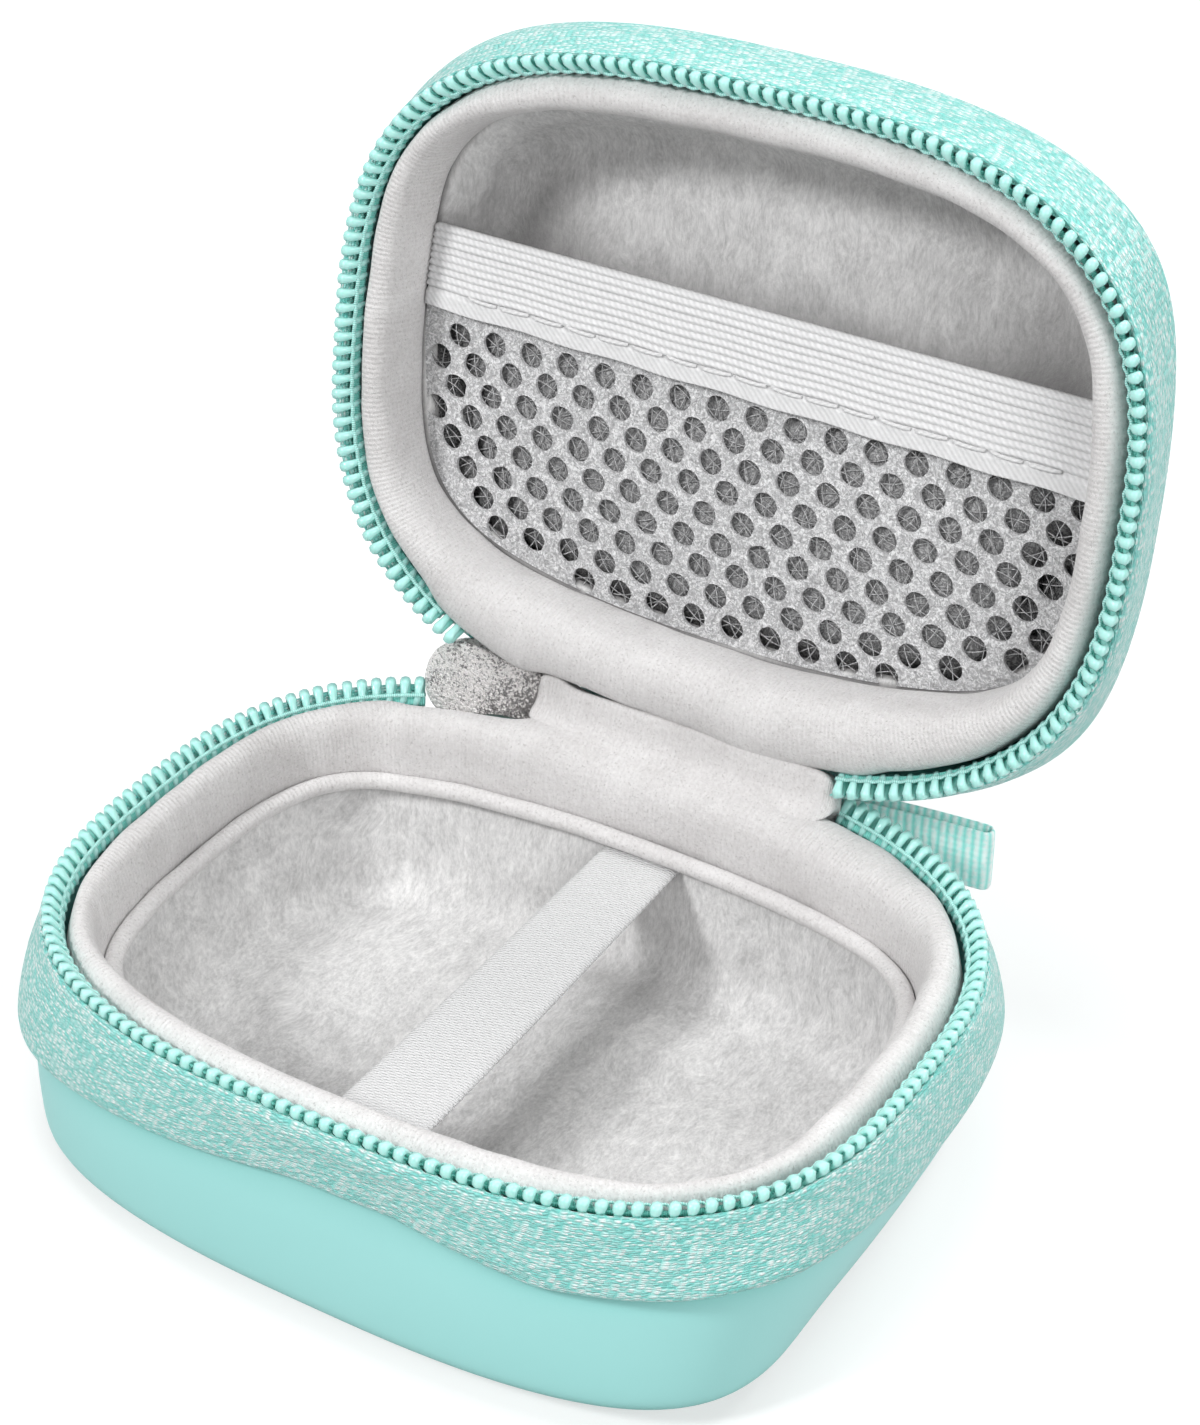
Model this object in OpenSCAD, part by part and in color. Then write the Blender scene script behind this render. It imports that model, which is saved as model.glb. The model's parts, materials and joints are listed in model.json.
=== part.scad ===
// Small zipped hard case for earbuds: a moulded base and lid on a fabric hinge, shown standing open.
// Millimetres. Origin: centre of the flat bottom. X runs along the hinge, Y to the back, Z up.
// Each half is drawn in its own rim frame: u is the distance outwards from the zip line,
// v is the height above the rim plane. The lid is the same frame mirrored and turned on the hinge.

/* [Zip line] */
// Width of the zip line, along the hinge
rim_w = 85; // [80:0.5:92]
// Depth of the zip line, front to back
rim_d = 66.2; // [62:0.2:72]
// Roundness of the front half of the outline (2 is an ellipse)
front_round = 2.92; // [2.4:0.02:3.4]
// Roundness of the rear half of the outline
rear_round = 2.65; // [2.4:0.05:3.2]
// Space between the two zip lines when the case is shut
zip_gap = 3.2; // [3.2:0.1:5]

/* [Base] */
// Height of the base from the table to the zip line
base_h = 23; // [21:0.5:34]
// Thickness under the base cavity, without the lining
base_floor_t = 3.2; // [2:0.1:5]
// Width that the rounded bottom edge takes from the footprint
base_round_w = 9.2; // [4:0.2:11]
// Height of the rounded bottom edge
base_round_h = 4; // [2:0.2:6]
// How far the base wall stands outside the zip line at the ends
base_side_out = 1.25; // [0:0.05:2]
// The same at the front
base_front_out = 1.4; // [0.5:0.05:2.5]
// How far the base ends lean in towards the bottom
base_side_lean = 4.25; // [0:0.05:6]

/* [Lid] */
// Height of the lid above its zip line
lid_h = 18; // [17:0.5:28]
// Thickness over the lid cavity, without the lining
lid_top_t = 2.8; // [2:0.1:4]
// Width that the rounded top edge takes from the outline
lid_round_w = 10; // [4:0.2:12]
// Height of the rounded top edge
lid_round_h = 5; // [3:0.2:7]
// How far the lid wall stands outside the zip line at the ends
lid_side_out = -0.4; // [-1:0.05:1]
// The same at the front
lid_front_out = 1.6; // [0.5:0.05:2.5]
// How far the lid ends lean in towards the top
lid_side_lean = 3.8; // [0:0.05:6]
// Angle the lid stands open in this pose
open_angle = 100.5; // [92:0.5:100.5]

/* [Walls and padding] */
// How far both walls stand outside the zip line at the back
rear_out = 0.6; // [0:0.05:0.8]
// Extra fullness of the base wall at its four corners
base_corner = 1; // [0:0.1:1.4]
// Extra fullness of the lid wall at its four corners
lid_corner = 1.3; // [0:0.1:2]
// Depth of the cavity wall behind the zip line at the ends
cavity_side_in = 5.4; // [5:0.1:8]
// The same at the front
cavity_front_in = 5.5; // [5:0.1:8]
// The same at the back
cavity_rear_in = 9.4; // [8:0.1:11]
// Radius where the cavity wall meets its floor
cavity_round = 4.5; // [2:0.1:6]
// Thickness of the velour lining
lining_t = 0.8; // [0.5:0.1:1.2]
// Height of the padded rim below the zip line
pad_h = 7; // [6.6:0.1:8]
// Height of the pad crest above the zip line
pad_crest = 1.15; // [0.6:0.05:1.3]
// Radius of the piping round the base cavity
piping_r = 0.8; // [0.4:0.05:1]

/* [Zip] */
// Pitch of the coil teeth
tooth_pitch = 1.5; // [1.4:0.05:2]
// Radius of the head of a tooth
tooth_head_r = 0.68; // [0.5:0.02:0.7]
// Radius of the leg of a tooth
tooth_leg_r = 0.6; // [0.4:0.02:0.64]
// Thickness of the woven tape
tape_t = 0.7; // [0.5:0.05:0.8]
// How far the tape hangs down where it is narrowest, at the middle of the front
tape_front = 5; // [4.6:0.1:7]
// How far it hangs down at the ends and the back
tape_side = 7.6; // [6.5:0.1:8.4]

/* [Slider and pull] */
// Length of the slider body
slider_len = 13.2; // [11:0.1:13.4]
// Width of the slider body across its shoulders
slider_w = 8.2; // [7.4:0.1:8.4]
// Width of the slider body at its tail
slider_tail_w = 6.4; // [5.4:0.1:7]
// Thickness over both slider plates
slider_t = 4.2; // [3.8:0.1:4.4]
// Thickness of one slider plate
slider_plate_t = 1; // [0.8:0.05:1.2]
// Radius of the bar that carries the pull
bar_r = 0.55; // [0.4:0.05:0.6]
// Running clearance of the pull on its bar
bar_clear = 0.07; // [0.03:0.01:0.1]
// Length of the pull below its bar
pull_len = 19; // [12:0.5:20]
// Width of the pull
pull_w = 4.6; // [3.6:0.1:6]
// Thickness of the pull
pull_t = 1; // [0.8:0.05:1.2]

/* [Fittings] */
// Width of the elastic strap over the base cavity, at its front end
strap_w = 9.9; // [8:0.1:12]
// Width where it is gathered into the rear wall
strap_rear_w = 8.4; // [7:0.1:12]
// Thickness of the elastic strap
strap_t = 0.9; // [0.6:0.05:1.2]
// Width of the elastic band along the pocket mouth
band_w = 8.9; // [7:0.1:10]
// Thickness of the elastic band
band_t = 0.9; // [0.6:0.05:1.2]
// Thickness of the pocket net
net_t = 0.5; // [0.4:0.05:0.7]
// Spacing of the holes along a row of the net
hole_pitch = 3.85; // [3.4:0.05:4.4]
// Spacing of the rows of holes
row_pitch = 2.9; // [2.6:0.05:3.3]
// Radius of a hole in the net
hole_r = 1.05; // [0.8:0.05:1.15]
// Length of the ribbon loop
loop_len = 14.2; // [10:0.1:16]
// Width of the ribbon loop
loop_w = 7; // [6:0.1:9]

/* [Hidden] */

// Small spaces between parts that are sewn or glued together
seat = 0.03;
// Stations round the outline
stations = 56;

// Hinge axis of the lid: in from the back of the zip line, and up from the base's rim plane
hinge_in = 2.2;
hinge_y = rim_d / 2 - hinge_in;
hinge_z = zip_gap + 1;
// The zip runs from the slider at the left rear round the front to the right rear
zip_left_x = 29.6;
hinge_half = 17.2;
// Slider: place, turn about the vertical, and how far its top leans back
slider_x = -22.9;
slider_back = 0.55;
slider_up = 1.3;
slider_turn = 14;
slider_tilt = 25;
// Depths under the rim plane: walls below the tape, the wall's lip, and the lip behind the hinge
shoulder_depth = 8;
lip_depth = 3.2;
lip_hinge_depth = 6.2;
lip_in = 0.85;
// Outer face of the pad, and how far it draws back behind the slider and behind the hinge
pad_out = 1.25;
slider_dent = 2;
hinge_dent = 0.4;
// Top edge of the tape, and the flap that carries the coil
tape_top_u = 0.45;
flap_len = 2.3;
flap_angle = 55.6;

function sgn(x) = x < 0 ? -1 : 1;
function mix(a, b, t) = a + (b - a) * t;
function clamp01(x) = min(1, max(0, x));
function ease(x) = let(t = clamp01(x)) t * t * (3 - 2 * t);

// Point of the zip line at a polar angle
function roundness(a) = sin(a) < 0 ? front_round : rear_round;
function rim_r(a) = let(n = roundness(a))
    pow(pow(abs(cos(a)) / (rim_w / 2), n) + pow(abs(sin(a)) / (rim_d / 2), n), -1 / n);
function rim_point(a) = rim_r(a) * [cos(a), sin(a)];
// Outward direction of the zip line there
function rim_out(a) = let(n = roundness(a), p = rim_point(a),
    g = [sgn(p[0]) * pow(abs(p[0]) / (rim_w / 2), n - 1) / rim_w,
         sgn(p[1]) * pow(abs(p[1]) / (rim_d / 2), n - 1) / rim_d]) g / norm(g);
// Point at u outside the zip line and v above the rim
function at(a, u, v) = let(p = rim_point(a) + u * rim_out(a)) [p[0], p[1], v];
// Blend of four values: ends, front, rear and corners
function round4(a, q) = let(d = rim_out(a), x2 = d[0] * d[0], y2 = d[1] * d[1])
    q[0] * x2 + (d[1] < 0 ? q[1] : q[2]) * y2 + q[3] * 4 * x2 * y2;
// 1 between two places along the back of the outline, 0 elsewhere
function rear_zone(a, x0, x1) = let(p = rim_point(a)) p[1] < 0 ? 0 : ease((p[0] - x0) / 3) * ease((x1 - p[0]) / 3);
function hinge_zone(a) = rear_zone(a, -zip_left_x - 3, hinge_half + 3);
function dent(a) = slider_dent * rear_zone(a, -zip_left_x - 3, -14.5) + hinge_dent * rear_zone(a, -17.5, hinge_half + 3);
// Angle of the zip line at a distance x from the middle of the back
function rear_angle(x) = atan2(rim_d / 2 * pow(1 - pow(abs(x) / (rim_w / 2), rear_round), 1 / rear_round), x);

zip_start = rear_angle(-zip_left_x);
zip_end = rear_angle(hinge_half) + 360;

// Offsets of the walls: ends, front, rear, corners
cavity_corner = 1;
base_top = [base_side_out, base_front_out, rear_out, base_corner];
base_low = [base_side_out - base_side_lean, base_front_out + 0.8, rear_out - 0.4, base_corner + 1.6];
lid_top = [lid_side_out, lid_front_out, rear_out, lid_corner];
lid_low = [lid_side_out - lid_side_lean, lid_front_out - 1.3, rear_out - 0.8, lid_corner - 0.6];
cavity_top = [-cavity_side_in, -cavity_front_in, -cavity_rear_in, cavity_corner];
cavity_low = [-cavity_side_in - 2.4, -cavity_front_in - 2, -cavity_rear_in - 1.4, cavity_corner];

// Inner face of the tape, where it lies over the wall
function tape_in(a, top, v) =
    tape_top_u + (round4(a, top) + 0.08 - tape_top_u) * sin(90 * clamp01(-v / shoulder_depth));
function wall_out(a, top, v) = tape_in(a, top, v) - 0.08;
function lip(a) = mix(lip_depth, lip_hinge_depth, hinge_zone(a));
// Depth of the sewn edge of the base tape, which wanders round the case
function turn180(a) = (a % 360 + 540) % 360 - 180;
base_tape_edge = [[-180, tape_side + 0.6], [-142, tape_side + 2.2], [-118, tape_side + 0.2], [-92, tape_front + 0.3],
    [-74, tape_front], [-54, tape_side - 0.3], [-33, tape_side - 1.5], [-9, tape_side], [90, tape_side - 0.5],
    [180, tape_side + 0.6]];
lid_tape_edge = [[-180, tape_side], [-140, tape_side + 0.6], [-90, tape_side], [-40, tape_side - 1], [0, tape_side - 1],
    [90, tape_side - 0.5], [180, tape_side]];

// Triangles of a grid of rows; the rows close on themselves, and the grid closes if ring is true
function grid_faces(n, m, ring) = [for (i = [0 : n - (ring ? 1 : 2)]) for (j = [0 : m - 1]) for (k = [0, 1])
    let(a = i * m + j, b = i * m + (j + 1) % m, c = (i + 1) % n * m + (j + 1) % m, d = (i + 1) % n * m + j)
    k == 0 ? [a, b, c] : [a, c, d]];
function flat(rows) = [for (r = rows) for (p = r) p];

// A bowl: rows of points from the foot of the outside, over the rim, to the floor inside
module bowl(rows) {
    n = len(rows);
    m = len(rows[0]);
    caps = [[for (j = [m - 1 : -1 : 0]) j], [for (j = [0 : m - 1]) (n - 1) * m + j]];
    polyhedron(points = flat(rows), faces = concat([for (f = grid_faces(n, m, false)) [f[2], f[1], f[0]]],
        [for (f = caps) [for (k = [len(f) - 1 : -1 : 0]) f[k]]]));
}

// A closed roll round the opening
module ring(rows) {
    polyhedron(points = flat(rows), faces = grid_faces(len(rows), len(rows[0]), true));
}

// A strip with two ends
module strip(rows) {
    n = len(rows);
    m = len(rows[0]);
    polyhedron(points = flat(rows), faces = concat(grid_faces(n, m, false),
        [[for (j = [m - 1 : -1 : 0]) j], [for (j = [0 : m - 1]) (n - 1) * m + j]]));
}

// Polar angles of the stations, closest together at the corners
function station_angle(t) = let(k = 2 / (sin(t) < 0 ? front_round : rear_round))
    atan2(rim_d * sgn(sin(t)) * pow(abs(sin(t)), k), rim_w * sgn(cos(t)) * pow(abs(cos(t)), k));
angles = [for (i = [0 : stations - 1]) station_angle(i * 360 / stations)];

// Row of a wall: offset blend q moved by du, at one depth
function wall_row(q, du, v) = [for (a = angles) at(a, round4(a, q) + du, v)];

// Moulded shell of one half, rim plane at v = 0
module half_shell(h, top, low, round_w, round_h, floor_t) {
    knee = h - round_h;
    cav_foot = h - floor_t - cavity_round;
    outside = concat(
        [for (t = [90, 66, 44, 22, 0]) wall_row(low, -round_w * (1 - cos(t)), -knee - round_h * sin(t))],
        [[for (a = angles) at(a, mix(round4(a, low), round4(a, top), 0.5) + 0.25, -(knee + shoulder_depth) / 2)]],
        [wall_row(top, 0, -shoulder_depth)],
        [[for (a = angles) at(a, wall_out(a, top, -mix(lip(a), shoulder_depth, 0.4)),
            -mix(lip(a), shoulder_depth, 0.4))]],
        [[for (a = angles) at(a, wall_out(a, top, -lip(a)), -lip(a))]]);
    inside = concat(
        [[for (a = angles) at(a, -lip_in - hinge_zone(a) * 0.3, -lip(a))]],
        [[for (a = angles) at(a, -lip_in - hinge_zone(a) * 0.3, -pad_h)]],
        [wall_row(cavity_top, lining_t, -pad_h)],
        [for (t = [0, 30, 60, 90]) wall_row(cavity_low, lining_t - cavity_round * (1 - cos(t)),
            -cav_foot - cavity_round * sin(t))]);
    bowl(concat(outside, inside));
}

// Velour lining of one half
module half_lining(h, floor_t) {
    cav_foot = h - floor_t - cavity_round;
    outside = concat(
        [for (t = [90, 60, 30, 0]) wall_row(cavity_low, lining_t - seat - cavity_round * (1 - cos(t)),
            -cav_foot - cavity_round * sin(t) + seat)],
        [wall_row(cavity_top, lining_t - seat, -pad_h)]);
    inside = concat(
        [wall_row(cavity_top, 0, -pad_h)],
        [for (t = [0, 30, 60, 90]) wall_row(cavity_low, -cavity_round * (1 - cos(t)),
            lining_t - cav_foot - cavity_round * sin(t))]);
    bowl(concat(outside, inside));
}

// Cross-section of the padded rim, in u and v
function pad_section(a) = let(
    face = -pad_out - dent(a),
    inner = round4(a, cavity_top))
    [[face, -pad_h + seat], [face, -2.5], [face - 0.55, -1.2], [face - 1, pad_crest - 1.05],
     [mix(face, inner, 0.3), pad_crest - 0.2], [mix(face, inner, 0.5), pad_crest],
     [mix(face, inner, 0.74), pad_crest - 0.4], [mix(face, inner, 0.9), pad_crest - 1.65],
     [mix(face, inner, 0.98), pad_crest - 3.75], [inner, -pad_h + seat]];

module half_pad() {
    ring([for (a = angles) [for (q = pad_section(a)) at(a, q[0], q[1])]]);
}

// Cross-section of the zip tape: it hangs over the shoulder and turns in under the coil
function tape_section(a, top, edge) = let(
    low = lookup(turn180(a), edge),
    flare = round4(a, [0, 0, 0, sin(a) < 0 ? 0.9 : 0.4]),
    down = [cos(flap_angle), sin(flap_angle)],
    tip = [0.505, 0.307],
    end = tip - flap_len * down,
    thick = 0.6 * [down[1], -down[0]])
    [[tape_in(a, top, -low) + tape_t + flare, -low],
     [tape_in(a, top, -low * 0.72) + tape_t + flare * 0.4, -low * 0.72],
     [tape_in(a, top, -low * 0.42) + tape_t, -low * 0.42],
     [tape_top_u + 0.72, -1.2], (tip + thick), tip, end, (end + thick),
     [tape_top_u + 0.02, -1.3],
     [tape_in(a, top, -low * 0.42), -low * 0.42],
     [tape_in(a, top, -low * 0.72), -low * 0.72],
     [tape_in(a, top, -low) + flare, -low]];

module half_tape(top, edge) {
    n = 52;
    strip([for (i = [0 : n]) let(a = lookup(zip_length * i / n, arc_table))
        [for (q = tape_section(a, top, edge)) at(a, q[0], q[1])]]);
}

// Distance along the zip line against the polar angle
arc_steps = 240;
function arc_angle(i) = mix(zip_start, zip_end, i / arc_steps);
arc_table = [for (i = 0, s = 0; i <= arc_steps;
    s = s + norm(rim_point(arc_angle(i + 1)) - rim_point(arc_angle(i))), i = i + 1) [s, arc_angle(i)]];
zip_length = arc_table[arc_steps][0];
tooth_count = floor((zip_length - 1) / tooth_pitch);

// One turn of the coil: a rounded head over the edge, and the leg that lies on the tape
module tooth() {
    head = tooth_pitch * [0, -0.12, 0.567];
    foot = tooth_pitch * [0.24, 0.667, -0.587];
    leg = foot - head;
    translate(head) {
        sphere(r = tooth_head_r, $fn = 20);
        rotate([0, acos(leg[2] / norm(leg)), atan2(leg[1], leg[0])])
            cylinder(r = tooth_leg_r, h = norm(leg), $fn = 16);
    }
    translate(foot) sphere(r = tooth_leg_r + 0.02, $fn = 16);
}

module half_teeth() {
    for (i = [0 : tooth_count - 1]) {
        a = lookup(0.5 + (zip_length - 1) * (i + 0.5) / tooth_count, arc_table);
        d = rim_out(a);
        p = rim_point(a);
        translate([p[0], p[1], 0]) rotate([0, 0, atan2(d[1], d[0]) + 90]) tooth();
    }
}

// From a half's rim frame to its place on the case
module on_base() {
    translate([0, 0, base_h]) children();
}
module on_lid() {
    translate([0, hinge_y, base_h + hinge_z]) rotate([-open_angle, 0, 0])
        translate([0, -hinge_y, zip_gap - hinge_z]) mirror([0, 0, 1]) children();
}

// Outline of the cavity in plan, drawn back by a clearance
function cavity_plan(du) = [for (a = angles) let(p = at(a, round4(a, cavity_top) + du, 0)) [p[0], p[1]]];

module base_shell() {
    color("#A3DFDA") on_base() half_shell(base_h, base_top, base_low, base_round_w, base_round_h, base_floor_t);
}
module base_lining() {
    color("#C9C7C6") on_base() half_lining(base_h, base_floor_t);
}
module base_rim_pad() {
    color("#DAD7D6") on_base() half_pad();
}
// Piping sewn round the top of the cavity wall
module base_piping() {
    color("#D2CFCE") on_base() ring([for (a = angles) [for (k = [0 : 5])
        at(a, round4(a, cavity_top) - piping_r - 0.05 + piping_r * cos(k * 60), -pad_h + piping_r + piping_r * sin(k * 60))]]);
}
module base_zip_tape() {
    color("#8FE3D6") on_base() half_tape(base_top, base_tape_edge);
}
module base_zip_teeth() {
    color("#9BE8D8") on_base() half_teeth();
}
// Elastic strap from the front wall of the cavity to the rear wall, just under the piping
module elastic_strap() {
    level = pad_h + 0.15;
    half = rim_d / 2;
    color("#F4F4F4") on_base() translate([0, 0, -level - strap_t]) linear_extrude(height = strap_t)
        intersection() {
            polygon(cavity_plan(-0.45));
            polygon([[-strap_w / 2, -half], [strap_w / 2, -half], [strap_rear_w / 2, half], [-strap_rear_w / 2, half]]);
        }
}
// Ribbon folded double and caught in the rear seam beside the hinge
module side_loop() {
    ribbon = 0.6;
    gap = 0.8;
    turn = 9.6;
    r_out = gap / 2 + ribbon;
    color("#9AE6D8") on_base() translate([hinge_half + 0.3, rim_d / 2 + rear_out + 1.5, -loop_w - 1])
        rotate([0, 0, turn]) linear_extrude(height = loop_w) difference() {
            union() {
                translate([0, -r_out]) square([loop_len - r_out, 2 * r_out]);
                translate([loop_len - r_out, 0]) circle(r = r_out, $fn = 32);
            }
            translate([-1, -gap / 2]) square([loop_len - r_out + 1, gap]);
            translate([loop_len - r_out, 0]) circle(r = gap / 2, $fn = 24);
        }
}
module lid_shell() {
    color("#A3DFDA") on_lid() half_shell(lid_h, lid_top, lid_low, lid_round_w, lid_round_h, lid_top_t);
}
module lid_lining() {
    color("#C9C7C6") on_lid() half_lining(lid_h, lid_top_t);
}
module lid_rim_pad() {
    color("#DAD7D6") on_lid() half_pad();
}
module lid_zip_tape() {
    color("#8FE3D6") on_lid() half_tape(lid_top, lid_tape_edge);
}
module lid_zip_teeth() {
    color("#9BE8D8") on_lid() half_teeth();
}

// The pocket: an elastic band across the lid cavity, with a net from it down to the hinge side
band_low_y = -2;
band_depth = 5.7;
net_depth = band_depth + band_t + 0.05;
module pocket_net() {
    rows = ceil(rim_d / 2 / row_pitch);
    columns = ceil(rim_w / 2 / hole_pitch);
    border = 1.3;
    color("#E4E4E6") on_lid() translate([0, 0, -net_depth - net_t]) linear_extrude(height = net_t)
        difference() {
            intersection() {
                polygon(cavity_plan(-0.3));
                translate([-rim_w / 2, band_low_y - 1]) square([rim_w, rim_d]);
            }
            for (j = [0 : rows]) for (i = [-columns : columns]) {
                x = (i + (j % 2) / 2) * hole_pitch;
                y = band_low_y + border + 0.6 + j * row_pitch;
                a = atan2(y, x);
                if (norm([x, y]) < norm(rim_point(a)) + round4(a, cavity_top) / max(abs(cos(a)), abs(sin(a)))
                    - hole_r - border) translate([x, y]) circle(r = hole_r, $fn = 14);
            }
        }
}
module pocket_elastic() {
    color("#F6F6F6") on_lid() translate([0, 0, -band_depth - band_t]) linear_extrude(height = band_t)
        intersection() {
            polygon(cavity_plan(-0.2));
            translate([-rim_w / 2, band_low_y - band_w]) square([rim_w, band_w]);
        }
}

// Fabric hinge at rest: an outer strip under the lid and down the base, and a padded one between the pads
hinge_left = 15;
strip_t = 0.6;
module hinge_strip(outline) {
    translate([-hinge_left, 0, base_h]) rotate([90, 0, 90]) linear_extrude(height = hinge_left + hinge_half - 0.3)
        polygon(outline);
}
// Outer strip: flat on the wall, round the fold, and along the underside of the open lid
module hinge_outer() {
    back = rim_d / 2 + rear_out + seat;
    fold = hinge_z / 4.2;
    color("#8FE3D6") hinge_strip([[back + 0.12, -tape_side - strip_t], [back + 0.12, -6.2 * fold], [back - 0.13, -3 * fold],
        [back - 0.13, -fold], [back + 0.47, -0.2 * fold], [back + 1.57, 0.2 * fold], [back + 4.47, -0.25 * fold],
        [back + 7.57, -0.8 * fold], [back + 7.47, -0.8 * fold - strip_t], [back + 4.37, -0.25 * fold - strip_t],
        [back + 1.47, 0.15 * fold - strip_t], [back + 0.72, -0.2 * fold - strip_t], [back - 0.13 + strip_t, -1.4 * fold],
        [back - 0.13 + strip_t, -3 * fold], [back + 0.12 + strip_t, -6.2 * fold],
        [back + 0.12 + strip_t, -tape_side - strip_t]]);
}
// Inner strip: from the crest of the base pad up to the crease under the lid pad
module hinge_inner() {
    y = rim_d / 2 - pad_out - hinge_dent;
    low = pad_crest + 0.27;
    top = hinge_z + 0.25;
    color("#DAD7D6") hinge_strip([[y + 0.2, -4.5], [y + 0.2, -2.1], [y - 0.2, -0.9], [y - 0.65, low - 0.97],
        [y - 1.4, low - 0.17], [y - 2.8, low - 0.02], [y - 3.4, low], [y - 2.9, low + 0.48], [y - 2.4, top - 1.45],
        [y - 2.1, top - 0.25], [y - 1.6, top], [y - 0.5, top - 0.7], [y + 0.6, top - 1.4], [y + 1.6, top - 1.75],
        [y + 1.2, low + 0.08], [y + 1, -4.5]]);
}

// Slider, in its own frame: X along the chain to the tail, Y outwards, Z across the chain
module in_slider() {
    y = rim_d / 2 * pow(1 - pow(-slider_x / (rim_w / 2), rear_round), 1 / rear_round);
    translate([slider_x, y + slider_back, base_h + slider_up]) rotate([0, 0, slider_turn]) children();
}
module leaned() {
    rotate([-slider_tilt, 0, 0]) children();
}
// Leaf-shaped plate: two round shoulders, a waist on each side, and a narrower tail
module slider_plate() {
    shoulder = 2.6;
    tail = 1.6;
    x0 = -slider_len / 2 + shoulder;
    x1 = slider_len / 2 - tail;
    z0 = slider_w / 2 - shoulder;
    z1 = slider_tail_w / 2 - tail;
    waist_r = 9;
    rotate([90, 0, 0]) linear_extrude(height = slider_plate_t, center = true) difference() {
        union() {
            for (k = [-1, 1]) {
                translate([x0, k * z0]) circle(r = shoulder, $fn = 48);
                translate([x1, k * z1]) circle(r = tail, $fn = 32);
            }
            translate([x0 - shoulder + 0.05, -z0]) square([2, 2 * z0]);
            translate([x1, -z1]) square([tail - 0.03, 2 * z1]);
            polygon([[x0, -z0 - shoulder + 0.05], [x1, -z1 - tail + 0.05], [x1, z1 + tail - 0.05],
                     [x0, z0 + shoulder - 0.05]]);
        }
        for (k = [-1, 1]) translate([1.5, k * (slider_w / 2 + waist_r - 1.2)]) circle(r = waist_r, $fn = 96);
    }
}
module zip_slider() {
    plate_y = slider_t / 2 - slider_plate_t / 2;
    slot = 1.1;
    rail_x = 6.4;
    rail_z = slider_tail_w / 2 - 0.9;
    color("#C9C9CC") in_slider() leaned() {
        for (k = [-1, 1]) {
            translate([0, k * plate_y, 0]) slider_plate();
            // Rails that hold the two tapes in
            for (j = [-1, 1]) translate([slider_len / 2 - 0.8 - rail_x, k > 0 ? slot / 2 : -slider_t / 2 + 0.2,
                j * rail_z - 0.4]) cube([rail_x, slider_t / 2 - slot / 2 - 0.2, 0.8]);
        }
        // Wedge that parts the teeth
        translate([-slider_len / 2 + 2.4, 0, 0]) rotate([90, 0, 0])
            cylinder(r = 1.2, h = slider_t - slider_plate_t, center = true, $fn = 32);
    }
}
bar_y = slider_t / 2 + 1.5;
bar_len = 5;
module slider_bridge() {
    post = 1.1;
    color("#C2C2C6") in_slider() leaned() {
        for (k = [-1, 1]) translate([k * (bar_len / 2 + post / 2) - post / 2, slider_t / 2, -0.9])
            cube([post, bar_y - slider_t / 2 + bar_r + 0.1, 1.8]);
        translate([-bar_len / 2 - 0.2, bar_y, 0]) rotate([0, 90, 0]) cylinder(r = bar_r, h = bar_len + 0.4, $fn = 24);
    }
}
// The pull hangs straight down from its bar
module pull_tab() {
    barrel_r = bar_r + bar_clear + 0.4;
    round_end = pull_w / 2;
    color("#CFCFD2") in_slider() translate([0, bar_y * cos(slider_tilt), -bar_y * sin(slider_tilt)]) difference() {
        union() {
            rotate([0, 90, 0]) cylinder(r = barrel_r, h = bar_len - 0.4, center = true, $fn = 28);
            translate([0, pull_t / 2 - 0.35, 0]) rotate([90, 0, 0]) linear_extrude(height = pull_t) difference() {
                union() {
                    translate([-pull_w / 2, -pull_len + round_end]) square([pull_w, pull_len - round_end - 0.2]);
                    translate([0, -pull_len + round_end]) circle(r = round_end, $fn = 40);
                }
                translate([0, -pull_len + round_end + 0.4]) circle(r = 1.1, $fn = 28);
            }
        }
        rotate([0, 90, 0]) cylinder(r = bar_r + bar_clear, h = bar_len + 2, center = true, $fn = 28);
    }
}
// Short end of the zip tape that looks out past the slider's tail
module zip_tape_end() {
    color("#8FE3D6") in_slider() translate([slider_len / 2 + 0.1, -1.9, -3.2]) cube([0.9, 0.5, 2.6]);
}

base_shell();
base_lining();
base_rim_pad();
base_piping();
base_zip_tape();
base_zip_teeth();
elastic_strap();
side_loop();
lid_shell();
lid_lining();
lid_rim_pad();
lid_zip_tape();
lid_zip_teeth();
pocket_net();
pocket_elastic();
hinge_outer();
hinge_inner();
zip_slider();
slider_bridge();
pull_tab();
zip_tape_end();
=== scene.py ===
import json
import math

import bpy
import numpy as np
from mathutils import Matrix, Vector, noise
from mathutils.geometry import delaunay_2d_cdt

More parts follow.
